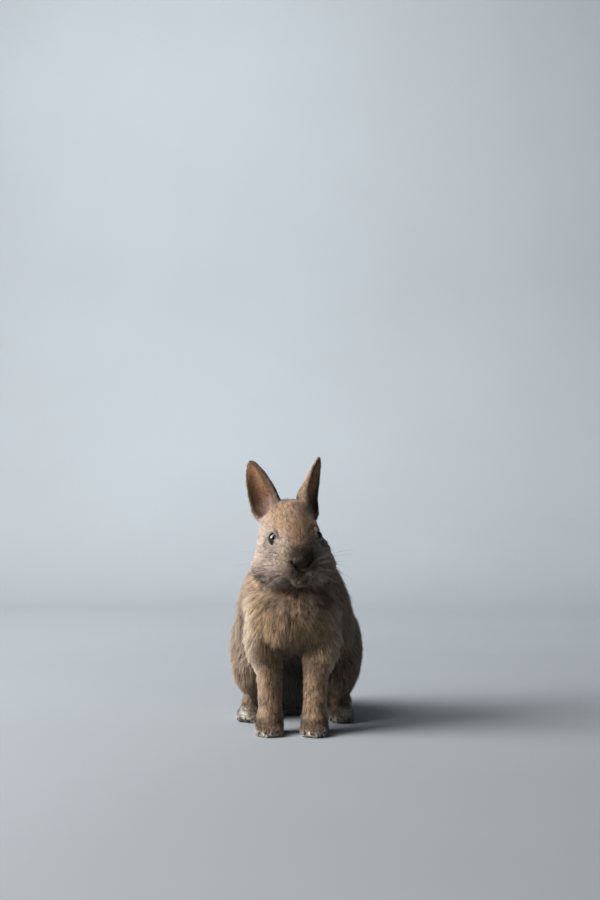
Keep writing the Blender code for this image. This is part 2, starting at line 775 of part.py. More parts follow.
def finish_parts(parts):
    """Gives each piece its material and shading, and centres the rabbit over the origin."""
    materials = {kind: make_material(kind) for kind in COLOURS}
    corners = np.array([v.co for obj in parts.objects for v in obj.data.vertices])
    middle = (corners.min(axis=0) + corners.max(axis=0)) / 2
    shift = Matrix.Translation((-middle[0], -middle[1], -corners[:, 2].min()))
    for obj in parts.objects:
        obj.data.transform(shift)
        obj.data.materials.clear()
        obj.data.materials.append(materials[material_kind(obj.name)])
        obj.data.shade_smooth()
        obj.data.set_sharp_from_angle(angle=math.radians(SHARP_EDGE_DEG))


def main():
    clear_scene()
    parts = new_collection("rabbit")
    cutters = new_collection("cutters")
    whole = merge_forms(cutters)
    smooth_and_thin(whole)
    level_floor(whole, cutters)
    skull = part_whole(whole, parts, cutters)
    add_eyes(skull, parts, cutters)
    add_claws(parts, cutters)
    finish_parts(parts)


main()
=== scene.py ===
import logging
import math
from collections.abc import Sequence
from dataclasses import dataclass, field
from enum import Enum
from functools import reduce

import bmesh
import bpy
import numpy as np
from mathutils import Matrix, Vector


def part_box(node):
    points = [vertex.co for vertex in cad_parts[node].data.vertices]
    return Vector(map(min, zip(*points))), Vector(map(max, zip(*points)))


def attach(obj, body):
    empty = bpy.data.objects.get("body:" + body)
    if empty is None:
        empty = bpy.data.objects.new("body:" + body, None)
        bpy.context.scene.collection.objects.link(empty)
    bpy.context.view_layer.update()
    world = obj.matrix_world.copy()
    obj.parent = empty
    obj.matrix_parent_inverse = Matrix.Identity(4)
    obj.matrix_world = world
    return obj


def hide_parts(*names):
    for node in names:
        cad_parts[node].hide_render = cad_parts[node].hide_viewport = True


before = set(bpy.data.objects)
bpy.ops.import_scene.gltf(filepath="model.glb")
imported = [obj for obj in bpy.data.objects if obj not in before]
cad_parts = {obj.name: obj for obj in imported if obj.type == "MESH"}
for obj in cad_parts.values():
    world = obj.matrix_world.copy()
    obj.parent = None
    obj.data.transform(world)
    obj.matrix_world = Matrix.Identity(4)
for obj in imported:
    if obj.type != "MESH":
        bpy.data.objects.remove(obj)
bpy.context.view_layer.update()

LOG = logging.getLogger("rabbit")
Array = np.ndarray
Socket = bpy.types.NodeSocket
Material = bpy.types.Material

# Lengths are in millimetres; MM turns them into metres. The rabbit faces -Y, its left is +X.
MM = 0.001
BODY = "root"
SEED = 20
SIDES = {"left": 1.0, "right": -1.0}
FULL_TURN = 2.0 * math.pi


# --- Numbers ---
def rise(value: Array, start: float, end: float) -> Array:
    """0 before start and 1 after end, with the smooth step 3t^2 - 2t^3 between them."""
    t = np.clip((value - start) / (end - start), 0.0, 1.0)
    return t * t * (3.0 - 2.0 * t)


def unit(vectors: Array) -> Array:
    """Each vector over its own length."""
    return vectors / np.maximum(np.linalg.norm(vectors, axis=-1, keepdims=True), 1e-9)


def flat_on(vectors: Array, normals: Array) -> Array:
    """Each vector less its part along the normal: it lies on the surface."""
    return vectors - np.sum(vectors * normals, axis=-1, keepdims=True) * normals


def band(places: Array, **limits: tuple[float, float]) -> Array:
    """The product of smooth steps along the named axes, each from 0 at its first limit to 1 at its second.

    Args:
        places: Points, (N, 3).
        limits: For x, y or z, where its step starts and ends. x counts from the middle plane.

    Returns:
        The product, (N,).
    """
    cover = np.ones(len(places))
    for axis, (start, end) in limits.items():
        column = places[:, "xyz".index(axis)]
        cover = cover * rise(np.abs(column) if axis == "x" else column, start, end)
    return cover


def ball(places: Array, middle: Sequence[float], outer: float, inner: float, radii: object = 1.0) -> Array:
    """A soft-edged ball: 0 past the outer distance from its middle, 1 within the inner one.

    Args:
        places: Points, (N, 3).
        middle: The ball's middle.
        outer: Where the cover starts.
        inner: Where it is full.
        radii: Lengths along x, y and z that count as one, for a stretched ball.

    Returns:
        The cover, (N,).
    """
    return rise(np.linalg.norm((places - np.array(middle)) / radii, axis=1), outer, inner)


def waves(points: Array, length: float, seed: int) -> Array:
    """Smooth noise from -1 to 1: a sum of nine sine waves that run in many directions.

    Args:
        points: Places, (N, 3).
        length: The usual wavelength.
        seed: Picks the directions and phases.

    Returns:
        The noise at each point, (N,).
    """
    count, limit = 9, 1.6
    rng = np.random.default_rng(seed)
    ways = unit(rng.normal(size=(count, 3))) * rng.uniform(0.6, 1.6, (count, 1))
    phase = rng.uniform(0.0, FULL_TURN, count)
    total = np.sin(points @ ways.T * (FULL_TURN / length) + phase).sum(axis=1)
    return np.clip(total / math.sqrt(count), -limit, limit) / limit


def scatter(cells: Array, seed: float) -> Array:
    """A repeatable random number from 0 to 1 for each lattice cell: the fraction of a large sine."""
    mixed = cells @ np.array([127.1, 311.7, 74.7]) + seed * 19.19
    return np.mod(np.sin(mixed) * 43758.5453, 1.0)


def locks(points: Array, size: float) -> tuple[Array, Array]:
    """The lock of hair that each root belongs to: the nearest point of a jittered lattice.

    Args:
        points: Roots, (N, 3).
        size: The lattice's step, about a lock's width.

    Returns:
        The lock's middle, (N, 3), and a random number from 0 to 1 that all of a lock shares.
    """
    base = np.floor(points / size)
    best = np.full(len(points), np.inf)
    middle = np.zeros_like(points)
    number = np.zeros(len(points))
    for step in np.ndindex(3, 3, 3):
        cell = base + np.array(step) - 1.0
        jitter = np.stack([scatter(cell, k) for k in (1.0, 2.0, 3.0)], axis=1)
        place = (cell + 0.1 + 0.8 * jitter) * size
        distance = np.sum((points - place) ** 2, axis=1)
        nearer = distance < best
        best = np.where(nearer, distance, best)
        middle[nearer] = place[nearer]
        number = np.where(nearer, scatter(cell, 7.0), number)
    return middle, number


# --- Where things are ---
@dataclass(frozen=True)
class HeadFrame:
    """The head's own axes, measured from the nose: x to the left, y backwards, z up."""

    nose: tuple = (12.05, -122.45, 180.0)
    turn_deg: float = 13.2
    tilt_deg: float = -2.6

    def axes(self) -> Array:
        """The head's three axes as the columns of a matrix."""
        turn = Matrix.Rotation(math.radians(self.turn_deg), 3, "Z")
        return np.array(turn @ Matrix.Rotation(math.radians(self.tilt_deg), 3, "Y"))

    def inward(self, points: Array) -> Array:
        """Points of the body as points of the head."""
        return (points - np.array(self.nose)) @ self.axes()

    def outward(self, points: Array) -> Array:
        """Points of the head as points of the body."""
        return self.ways(points) + np.array(self.nose)

    def ways(self, vectors: Array) -> Array:
        """Directions in the head as directions in the body."""
        return np.asarray(vectors, float) @ self.axes().T


HEAD = HeadFrame()


@dataclass(frozen=True)
class Ear:
    """A cupped leaf: its line from base to tip in the head's lengths, and how it is cupped."""

    side: str
    base: tuple
    tip: tuple
    opens_deg: float
    shares: tuple = (0.0, 0.12, 0.3, 0.48, 0.66, 0.82, 0.93, 1.0)
    half_width: tuple = (7.6, 11.0, 14.8, 14.8, 12.8, 9.6, 6.0, 2.6)
    cup_deg: tuple = (150, 130, 102, 80, 66, 56, 48, 40)
    root: tuple = (0.05, 0.26)  # where along its length it comes free of the head
    reach: tuple = (24.0, 20.0)  # how far from its line it is looked for

    def axes(self) -> Array:
        """Across, outward (where the cup opens) and along, as the rows of a matrix."""
        along = unit(np.array(self.tip) - np.array(self.base))
        angle = math.radians(self.opens_deg) * SIDES[self.side]
        opens = np.array([math.sin(angle), -math.cos(angle), 0.0])
        opens = unit(opens - along * (opens @ along))
        return np.stack([np.cross(along, opens), opens, along])

    def measure(self, head_points: Array) -> tuple[Array, Array, Array, Array]:
        """Where points of the head lie in the ear.

        The cup is an arc whose radius is the half width over the sine of its angle, or the half
        width itself past a right angle. Its middle stands radius * cos(angle) in front of the
        base line.

        Args:
            head_points: Points in the head's lengths, (N, 3).

        Returns:
            The share of the ear's length; how far inside the cup's arc a point is, above 0 on
            the inner face; the angle round the arc from its middle line, in radians; and the
            ear's cover, 1 on it and 0 away from it.
        """
        across, opens, along = self.axes()
        from_base = head_points - np.array(self.base)
        share = from_base @ along / np.linalg.norm(np.array(self.tip) - np.array(self.base))
        sideways, depth = from_base @ across, from_base @ opens
        cover = rise(share, *self.root) * rise(np.hypot(sideways, depth), *self.reach)
        cup = np.minimum(np.radians(np.interp(share, self.shares, self.cup_deg)), math.pi / 2)
        radius = np.interp(share, self.shares, self.half_width) / np.sin(cup)
        depth = depth - radius * np.cos(cup)
        return share, radius - np.hypot(sideways, depth), np.arctan2(sideways, -depth), cover


EARS = (
    Ear("left", (21.0, 66.0, 35.0), (39.0, 75.0, 102.5), 58.0),
    Ear("right", (-18.0, 66.0, 34.5), (-36.5, 75.0, 102.0), 29.0),
)


@dataclass(frozen=True)
class EyeSpot:
    """An eyeball's place in the head, and the opening between its lids."""

    side: str
    place: tuple = (19.6, 33.0, 20.8)  # on the left; the right one mirrors it
    radius: float = 8.05
    forward_deg: float = 24.0  # how far its axis turns from straight sideways to the front
    up_deg: float = 4.0
    opening_deg: float = 54.0
    corner_deg: float = 8.0  # how much farther the opening reaches at its two corners
    lid: float = 1.15  # how far the lids' rims stand off the ball
    softness: float = 1.3  # how softly the lids run into the face
    sunk: float = 2.2  # how far the skin lies behind the ball's front inside the opening

    def middle(self) -> Array:
        """The ball's middle in the head."""
        return np.array(self.place) * [SIDES[self.side], 1.0, 1.0]

    def axis(self) -> Array:
        """The way the eye looks, in the head."""
        forward, up = math.radians(self.forward_deg), math.radians(self.up_deg)
        return unit(np.array([math.cos(forward) * SIDES[self.side], -math.sin(forward), math.sin(up)]))

    def level(self) -> Array:
        """The level way across the eye."""
        return unit(np.cross(self.axis(), [0.0, 0.0, 1.0]))

    def measure(self, head_points: Array) -> tuple[Array, Array, Array]:
        """Where points of the head lie round the eye.

        Args:
            head_points: Points in the head's lengths, (N, 3).

        Returns:
            The distance from the ball's middle, the angle from its axis in radians, and the
            opening's own half angle on that bearing, in radians.
        """
        from_middle = head_points - self.middle()
        distance = np.linalg.norm(from_middle, axis=1)
        axis = self.axis()
        angle = np.arccos(np.clip(from_middle @ axis / np.maximum(distance, 1e-6), -1.0, 1.0))
        aside = unit(from_middle - (from_middle @ axis)[:, None] * axis)
        corner = np.abs(aside @ self.level()) ** 4
        return distance, angle, np.radians(self.opening_deg + self.corner_deg * corner)


EYES = (EyeSpot("left"), EyeSpot("right"))

# Lines of the face on the head's left half, as points in the head; the right half mirrors them.
NOSTRIL = ((2.4, -1.5, -9.0), (6.2, 0.2, -6.4), (9.6, 3.5, -2.8))
PHILTRUM = ((0.0, -2.0, -8.5), (0.0, 2.0, -18.5))
LIP = ((0.0, 2.0, -18.5), (8.5, 7.0, -23.5), (15.0, 20.0, -23.0))


def face_groove(head: Array, line: Sequence[Sequence[float]], width: float) -> Array:
    """A soft groove along a line of the face and its mirror image: exp(-(distance / width)^2).

    Args:
        head: Places in the head's lengths, (N, 3).
        line: Points of the line on the left half.
        width: The groove's half width.

    Returns:
        1 on the line, falling to 0 away from it.
    """
    half = head.copy()
    half[:, 0] = np.abs(half[:, 0])
    distances = []
    for start, end in zip(np.array(line[:-1]), np.array(line[1:])):
        run = end - start
        share = np.clip((half - start) @ run / (run @ run), 0.0, 1.0)
        distances.append(np.linalg.norm(half - start - share[:, None] * run, axis=1))
    return np.exp(-((np.minimum.reduce(distances) / width) ** 2))


def crown_fringe(head: Array) -> Array:
    """1 on the ridge of the crown between the ears, where longer dark hair stands up."""
    return ball(head, (0.0, 68.0, 55.0), 1.3, 0.6, (17.0, 12.0, 8.0))


# --- The coat's colours and zones ---
class Tone(Enum):
    """The coat's colours, as linear red, green and blue."""

    TAN = (0.410, 0.265, 0.158)
    GOLD = (0.410, 0.270, 0.145)
    FAWN = (0.440, 0.340, 0.275)
    DUN = (0.290, 0.210, 0.140)
    OLIVE = (0.120, 0.090, 0.050)
    SOOT = (0.018, 0.013, 0.007)
    UMBER = (0.100, 0.062, 0.034)
    SIENNA = (0.300, 0.165, 0.078)
    CREAM = (0.720, 0.670, 0.590)
    ROSE = (0.520, 0.350, 0.265)
    RUST = (0.640, 0.330, 0.160)


@dataclass(frozen=True)
class Hair:
    """How the coat looks and grows in a zone."""

    tone: Tone
    depth: float  # how far the skin lies inside the coat's outline
    length: float
    width: float
    density: float  # tufts to a square millimetre
    lift_deg: float  # how far a tuft stands off the skin
    lock: float  # how far the tips of a lock gather, 0 to 1
    lock_size: float
    tick: float  # share of dark-tipped tufts

    @property
    def colour(self) -> tuple:
        """The tone's linear colour."""
        return self.tone.value


class Zone(Enum):
    """The parts of the coat that differ in colour, length or lie."""

    TRUNK = Hair(Tone.DUN, 6.6, 14.0, 0.74, 1.10, 21, 0.60, 4.8, 0.26)
    # The belly's soot-dark tone is painted shade on the underside between and behind the legs.
    BELLY = Hair(Tone.SOOT, 6.0, 13.0, 0.80, 0.60, 20, 0.60, 5.0, 0.10)
    CHEST = Hair(Tone.GOLD, 7.2, 14.5, 0.62, 2.10, 27, 0.80, 5.0, 0.28)
    HAUNCH = Hair(Tone.DUN, 6.2, 13.0, 0.74, 1.10, 19, 0.60, 4.8, 0.24)
    TAIL = Hair(Tone.OLIVE, 7.0, 17.0, 0.80, 1.50, 32, 0.60, 5.0, 0.15)
    FORELEG = Hair(Tone.TAN, 3.2, 8.0, 0.50, 2.60, 18, 0.60, 4.0, 0.22)
    FOREPAW = Hair(Tone.TAN, 1.2, 5.4, 0.44, 3.60, 20, 0.70, 3.2, 0.22)
    HINDFOOT = Hair(Tone.TAN, 1.7, 6.5, 0.48, 2.30, 18, 0.60, 3.2, 0.14)
    NAPE = Hair(Tone.TAN, 6.6, 12.5, 0.70, 1.40, 23, 0.60, 4.8, 0.24)
    FOREHEAD = Hair(Tone.TAN, 2.2, 6.8, 0.38, 4.40, 17, 0.60, 3.0, 0.17)
    CHEEK = Hair(Tone.FAWN, 3.0, 7.5, 0.42, 3.20, 19, 0.55, 3.4, 0.12)
    JOWL = Hair(Tone.FAWN, 4.6, 10.5, 0.50, 3.60, 27, 0.90, 4.2, 0.36)
    MUZZLE = Hair(Tone.DUN, 1.2, 3.2, 0.36, 5.20, 17, 0.45, 2.4, 0.08)
    NOSE = Hair(Tone.UMBER, 0.5, 1.2, 0.32, 6.00, 12, 0.20, 2.0, 0.10)
    EYE_RIM = Hair(Tone.FAWN, 1.2, 2.2, 0.32, 6.00, 14, 0.25, 2.0, 0.08)
    EAR_BACK = Hair(Tone.TAN, 0.5, 3.8, 0.38, 3.00, 13, 0.55, 3.0, 0.30)
    EAR_INSIDE = Hair(Tone.ROSE, 0.4, 3.6, 0.26, 1.60, 16, 0.35, 3.0, 0.10)


Shares = dict[Zone, Array]


def zone_covers(points: Array, head: Array) -> Shares:
    """Where each zone covers what was laid before it, from the trunk outwards.

    Args:
        points: Places on the body, (N, 3).
        head: The same places in the head's lengths.

    Returns:
        Each zone's cover, from 0 to 1, in the order in which they are laid.
    """
    beside_leg = np.hypot(np.abs(points[:, 0]) - 24.0, points[:, 1] + 66.0)
    leg = rise(beside_leg, 33.0, 22.0) * band(points, y=(-38.0, -48.0))
    on_head = rise(0.66 * (head[:, 2] + 33.0) - 0.75 * (head[:, 1] - 36.0), -9.0, 9.0)
    crown = rise(head[:, 2] - 0.15 * head[:, 1], 14.0, 26.0)
    nape = rise(points[:, 2] - 0.5 * points[:, 1], 170.0, 196.0)
    ears = [ear.measure(head) for ear in EARS]
    rims = [eye.measure(head) for eye in EYES]
    rim = sum(rise(far, 17.0, 10.5) * rise(angle, 1.5, 0.95) for far, angle, _ in rims)
    inside = sum(cover * rise(inner, -0.5, 0.5) for _, inner, _, cover in ears)
    return {
        Zone.BELLY: band(points, y=(-55.0, -35.0), z=(42.0, 22.0), x=(40.0, 25.0)),
        Zone.HAUNCH: band(points, x=(34.0, 50.0), y=(-34.0, -14.0), z=(140.0, 105.0)),
        Zone.CHEST: band(points, y=(-50.0, -74.0), z=(62.0, 106.0)),
        Zone.TAIL: ball(points, (0.0, 112.0, 42.0), 30.0, 22.0),
        Zone.FORELEG: leg * band(points, z=(104.0, 62.0)),
        Zone.HINDFOOT: band(points, x=(22.0, 30.0), y=(-26.0, -20.0), z=(27.0, 17.0)),
        Zone.FOREPAW: band(points, y=(-42.0, -52.0), z=(26.0, 15.0)),
        Zone.NAPE: nape * band(points, y=(-84.0, -68.0)),
        Zone.CHEEK: on_head,
        Zone.FOREHEAD: on_head * crown * band(head, x=(27.0, 18.0)),
        Zone.JOWL: on_head * band(head, z=(0.0, -12.0)) * band(head, y=(14.0, 26.0)),
        Zone.MUZZLE: ball(head, (0.0, 12.0, -4.0), 29.0, 19.0),
        Zone.NOSE: ball(head, (0.0, 1.0, -5.0), 11.0, 7.0),
        Zone.EYE_RIM: np.clip(rim, 0.0, 1.0),
        Zone.EAR_BACK: np.clip(sum(cover for *_, cover in ears), 0.0, 1.0),
        Zone.EAR_INSIDE: np.clip(inside, 0.0, 1.0),
    }


def zone_shares(points: Array) -> Shares:
    """Each zone's share of each point; a point's shares add up to 1."""
    shares = {Zone.TRUNK: np.ones(len(points))}
    for zone, cover in zone_covers(points, HEAD.inward(points)).items():
        shares = {known: share * (1.0 - cover) for known, share in shares.items()}
        shares[zone] = cover
    return shares


def hair_values(shares: Shares, name: str) -> Array:
    """The mean of one of Hair's values at each point, by the zones' shares."""
    return sum(np.multiply.outer(share, getattr(zone.value, name)) for zone, share in shares.items())


# --- Markings ---
@dataclass
class Markings:
    """The coat's colours at places on the body: the zones' tones with marks laid over them."""

    points: Array
    shares: Shares
    unevenness: float = 0.10

    def __post_init__(self) -> None:
        """Works out the places in the head's lengths and the slow noise."""
        self.head = HEAD.inward(self.points)
        self.uneven = waves(self.points, 17.0, 3)

    def of(self, *zones: Zone) -> Array:
        """The share of several zones together."""
        return sum(self.shares[zone] for zone in zones)

    def face(self) -> list[tuple[Tone, Array]]:
        """Nose, lips, chin, cheeks and crown, with painted shade in the nostrils, creases and throat and a
        painted highlight below the nose: pairs of a tone and its cover, in the order laid.
        """
        head = self.head
        strip = band(head, x=(15.0, 5.0), z=(44.0, 16.0)) * band(head, z=(0.0, 8.0))
        strip = strip * self.of(Zone.MUZZLE, Zone.NOSE, Zone.FOREHEAD, Zone.CHEEK)
        beside_nose = ball(head, (0.0, 4.0, -3.0), 1.5, 0.5, (17.0, 15.0, 14.0))
        bridge_end = ball(head, (0.0, 6.0, 4.5), 1.8, 0.4, (12.0, 10.0, 6.5))
        pad = ball(head, (0.0, 0.0, -2.5), 1.3, 0.7, (7.0, 7.0, 5.0))
        # Painted shade in the nostrils and in the creases of philtrum and lips, laid in soot.
        nostril_and_crease_shade = 1.6 * face_groove(head, NOSTRIL, 2.3)
        nostril_and_crease_shade += face_groove(head, LIP, 2.0) + face_groove(head, PHILTRUM, 1.3)
        # Pink skin below the nose; the cream laid over it is a painted highlight.
        spot = ball(head, (0.0, -1.5, -11.0), 4.4, 1.8)
        lip_light = ball(head, (5.5, 0.5, -15.5), 5.0, 2.0)
        chin = ball(head, (0.0, 15.0, -29.0), 22.0, 10.0)
        low_cheek = band(head, x=(15.0, 24.0), z=(-4.0, -15.0)) * self.of(Zone.JOWL, Zone.CHEEK)
        fans = rise(waves(self.points, 5.0, 5), -0.05, 0.40) * band(head, z=(-6.0, -14.0), x=(9.0, 14.0))
        # Painted shade under the chin, over the throat, laid in umber.
        throat_shade = self.of(Zone.JOWL) * band(head, y=(20.0, 34.0), z=(-20.0, -30.0))
        return [
            (Tone.SIENNA, 0.80 * strip),
            (Tone.UMBER, 0.70 * beside_nose),
            (Tone.SOOT, 0.88 * bridge_end * band(head, z=(-3.0, 3.0))),
            (Tone.UMBER, 0.6 * pad),
            # Painted shade in nostrils and lip creases.
            (Tone.SOOT, nostril_and_crease_shade),
            (Tone.ROSE, spot),
            # Painted highlight over the pink spot.
            (Tone.CREAM, 0.5 * spot),
            (Tone.CREAM, 0.5 * lip_light),
            (Tone.UMBER, 0.85 * chin),
            (Tone.UMBER, low_cheek * (0.70 + 0.45 * waves(self.points, 7.0, 9))),
            (Tone.UMBER, 0.75 * crown_fringe(head)),
            (Tone.SOOT, 0.85 * fans * self.of(Zone.JOWL)),
            # Painted shade on the throat.
            (Tone.UMBER, 0.8 * throat_shade),
        ]

    def body(self) -> list[tuple[Tone, Array]]:
        """Painted shade on the lower breast (whose underfur is darker too), the inner forelegs and between
        the legs; painted shade under the chin; a painted rim light on the sides of breast and forelegs; pale
        toes, soles and hind-foot edges, dark back, pale under-tail.
        """
        points = self.points
        # Painted shade: on the lower breast, over fur that is darker there too, on the inner forelegs, and
        # behind the forelegs between the legs (behind).
        low_breast_shade_and_underfur = band(points, z=(130.0, 104.0), x=(20.0, 4.0), y=(-50.0, -70.0))
        inner_leg_shade = self.of(Zone.FORELEG) * band(points, x=(17.0, 9.0), y=(-90.0, -80.0))
        behind = band(points, y=(-62.0, -40.0), z=(96.0, 66.0), x=(34.0, 22.0)) * band(points, y=(60.0, 10.0))
        dark = np.maximum(0.8 * low_breast_shade_and_underfur, np.maximum(0.85 * inner_leg_shade, behind))
        # Painted shade under the chin: the top of the breast is laid darker and warmer in sienna.
        warm_ruff_shade = band(points, z=(118.0, 136.0))
        warm_ruff_shade = warm_ruff_shade * band(points, z=(164.0, 148.0), y=(-50.0, -66.0), x=(36.0, 20.0))
        gaps = rise(waves(points, 9.0, 6), 0.15, 0.65) * self.of(Zone.CHEST) * band(points, z=(165.0, 120.0))
        # Painted rim light: a cream band along the sides of breast and forelegs, over side fur that is paler
        # too.
        rim_light_and_pale_side = self.of(Zone.CHEST, Zone.FORELEG) * band(points, x=(26.0, 42.0))
        feet = self.of(Zone.FOREPAW, Zone.HINDFOOT)
        sole = rise(points[:, 2] + 2.5 * self.uneven, 9.0, 4.5)
        under_tail = self.of(Zone.TAIL) * rise(points[:, 1] - 0.4 * points[:, 2], 108.0, 92.0)
        return [
            # Painted shade with a warmer tone on the breast top.
            (Tone.SIENNA, 0.4 * warm_ruff_shade),
            (Tone.UMBER, 0.7 * gaps),
            # Painted rim light on the breast and leg sides.
            (Tone.CREAM, 0.40 * rim_light_and_pale_side),
            # Painted shade in soot: lower breast, inner forelegs and between the legs.
            (Tone.SOOT, dark * (1.0 - self.of(Zone.FOREPAW))),
            (Tone.UMBER, 0.75 * feet * band(points, z=(5.0, 10.0))),
            (Tone.CREAM, feet * sole),
            (Tone.CREAM, self.of(Zone.HINDFOOT) * band(points, x=(48.0, 56.0), z=(18.0, 12.0))),
            (Tone.OLIVE, 0.35 * self.of(Zone.TRUNK) * band(points, z=(120.0, 165.0), y=(-30.0, 10.0))),
            (Tone.CREAM, 0.8 * under_tail),
        ]

    def ear(self, ear: Ear) -> list[tuple[Tone, Array]]:
        """Dark margins and tip, the broad inner margin on the crown's side partly painted shade inside the
        cup; a rust-brown middle inside; its foot keeps the zone's rose.
        """
        share, inner, round_it, cover = ear.measure(self.head)
        within = cover * rise(inner, -0.8, 0.2)
        to_crown = -SIDES[ear.side] * round_it / np.radians(np.interp(share, ear.shares, ear.cup_deg))
        # The broad margin on the crown's side is dark hair and painted shade inside the cup; the narrow outer
        # margin and the tip are dark hair.
        margin = rise(to_crown, 0.10, 0.50) + rise(to_crown, -0.60, -0.90) + rise(share, 0.86, 0.98)
        rim = np.maximum(rise(np.abs(to_crown), 0.70, 0.95), rise(share, 0.75, 1.0))
        return [
            (Tone.RUST, 0.85 * within * rise(share, 0.32, 0.50)),
            (Tone.UMBER, 0.9 * within * np.clip(margin, 0, 1) * rise(share, 0.05, 0.2)),
            (Tone.OLIVE, 0.7 * (cover - within) * rim),
        ]

    def colours(self) -> Array:
        """Lays every mark: colour = colour x (1 - cover) + tone x cover. Linear colours, (N, 3)."""
        colour = hair_values(self.shares, "colour")
        marks = self.face() + self.body() + [mark for ear in EARS for mark in self.ear(ear)]
        for tone, cover in marks:
            share = np.clip(cover, 0.0, 1.0)[:, None]
            colour = colour * (1.0 - share) + np.array(tone.value) * share
        return colour * (1.0 + self.unevenness * self.uneven[:, None])


# --- The lie of the coat ---
def lie_of(points: Array, shares: Shares) -> Array:
    """The way the coat runs at each place, before it is laid flat on the skin.

    Hair runs from the nose over the head, up the ears, down the neck, chest and forelegs, along
    the back to the tail and down the flanks, and forwards over the feet.

    Args:
        points: Places on the body, (N, 3).
        shares: The zones' shares there.

    Returns:
        Directions, (N, 3), not of unit length.
    """
    head = HEAD.inward(points)

    def way(x: object, y: object, z: object) -> Array:
        """One direction for each place, from arrays or plain numbers."""
        return np.stack(np.broadcast_arrays(x, y, z, points[:, 0])[:3], axis=1).astype(float)

    aft = rise(points[:, 1], 25.0, 105.0)
    fore = rise(points[:, 1], 30.0, -20.0)
    from_nose = HEAD.ways(unit(head - np.array([0.0, -10.0, -3.0])))
    ways = dict.fromkeys(Zone, from_nose)
    ways |= {
        Zone.TRUNK: way(0.0, 1.0 - 0.85 * fore, -0.55 - 1.2 * aft - 0.5 * fore),
        Zone.HAUNCH: way(0.0, 0.42, -1.0),
        Zone.BELLY: way(0.3 * np.sign(points[:, 0]), 1.0, 0.0),
        Zone.CHEST: way(0.016 * (points[:, 0] - 2.0), 0.0, -1.0),
        Zone.TAIL: unit(points - np.array([0.0, 92.0, 26.0])) + [0.0, 0.0, 0.4],
        Zone.FORELEG: way(0.0, 0.15, -1.0),
        Zone.FOREPAW: way(0.0, -1.0, -0.3),
        Zone.HINDFOOT: way(0.0, -1.0, -0.3),
        Zone.NAPE: way(0.0, 0.8, -0.8),
    }
    up_ears = np.zeros_like(points)
    for ear in EARS:
        _, inner, round_it, cover = ear.measure(head)
        across, _, along = ear.axes()
        spread = np.outer(0.45 * np.sin(round_it) * np.sign(inner + 0.01), across)
        up_ears += HEAD.ways(along + spread) * cover[:, None]
    ways[Zone.EAR_BACK] = ways[Zone.EAR_INSIDE] = up_ears
    from_eyes = np.zeros_like(points)
    for eye in EYES:
        near = rise(eye.measure(head)[0], 18.0, 12.0)[:, None]
        from_eyes += near * HEAD.ways(unit(head - eye.middle()))
    ways[Zone.EYE_RIM] = 0.8 * unit(from_eyes) + 0.75 * from_nose
    return sum(share[:, None] * unit(ways[zone]) for zone, share in shares.items())


# --- Surfaces as arrays ---
@dataclass
class Surface:
    """A closed mesh of triangles as whole arrays, in millimetres."""

    points: Array
    triangles: Array
    normals: Array = field(init=False)

    def __post_init__(self) -> None:
        """Finds each edge once, and how many meet at each point."""
        pairs = np.sort(self.triangles[:, [0, 1, 1, 2, 2, 0]].reshape(-1, 2), axis=1)
        self.edges = np.unique(pairs, axis=0)
        self.degree = np.bincount(self.edges.ravel(), minlength=len(self.points))
        self.find_normals()

    def crosses(self) -> Array:
        """Each triangle's normal, twice as long as its area."""
        a, b, c = (self.points[self.triangles[:, k]] for k in range(3))
        return np.cross(b - a, c - a)

    def find_normals(self) -> None:
        """Point normals: the sum of the neighbouring triangles' cross products, made unit."""
        corner = self.triangles.T.ravel()
        total = [np.bincount(corner, np.tile(column, 3), len(self.points)) for column in self.crosses().T]
        self.normals = unit(np.stack(total, axis=1))

    def relaxed(self, values: Array, rounds: int, share: float = 0.5) -> Array:
        """Values evened out over the surface: each round moves them a share to their neighbours' mean."""
        one, two = self.edges.T
        size = len(self.points)
        for _ in range(rounds):
            columns = values.reshape(size, -1).T
            total = [np.bincount(one, c[two], size) + np.bincount(two, c[one], size) for c in columns]
            mean = (np.stack(total, axis=1) / np.maximum(self.degree, 1)[:, None]).reshape(values.shape)
            values = values + share * (mean - values)
        return values

    def fair(self, rounds: int, pull: float = 0.55, push: float = -0.575) -> None:
        """Smooths the shape without shrinking it: each round pulls in, then pushes back."""
        for share in (pull, push) * rounds:
            self.points = self.relaxed(self.points, 1, share)
        self.find_normals()


def add_mesh(name: str, points: Array, faces: Array, material: Material) -> bpy.types.Object:
    """A smooth mesh from whole arrays, as an object at the origin.

    Args:
        name: The object's name.
        points: Places in millimetres, (N, 3).
        faces: Corners of faces that all have the same number of sides, (F, sides).
        material: Its one material.

    Returns:
        The object, linked into the scene.
    """
    count, sides = faces.shape
    mesh = bpy.data.meshes.new(name)
    mesh.vertices.add(len(points))
    mesh.vertices.foreach_set("co", (points * MM).astype(np.float32).ravel())
    mesh.loops.add(count * sides)
    mesh.loops.foreach_set("vertex_index", faces.astype(np.int32).ravel())
    mesh.polygons.add(count)
    mesh.polygons.foreach_set("loop_start", np.arange(0, count * sides, sides, dtype=np.int32))
    mesh.update(calc_edges=True)
    mesh.shade_smooth()
    mesh.materials.append(material)
    obj = bpy.data.objects.new(name, mesh)
    bpy.context.scene.collection.objects.link(obj)
    return obj


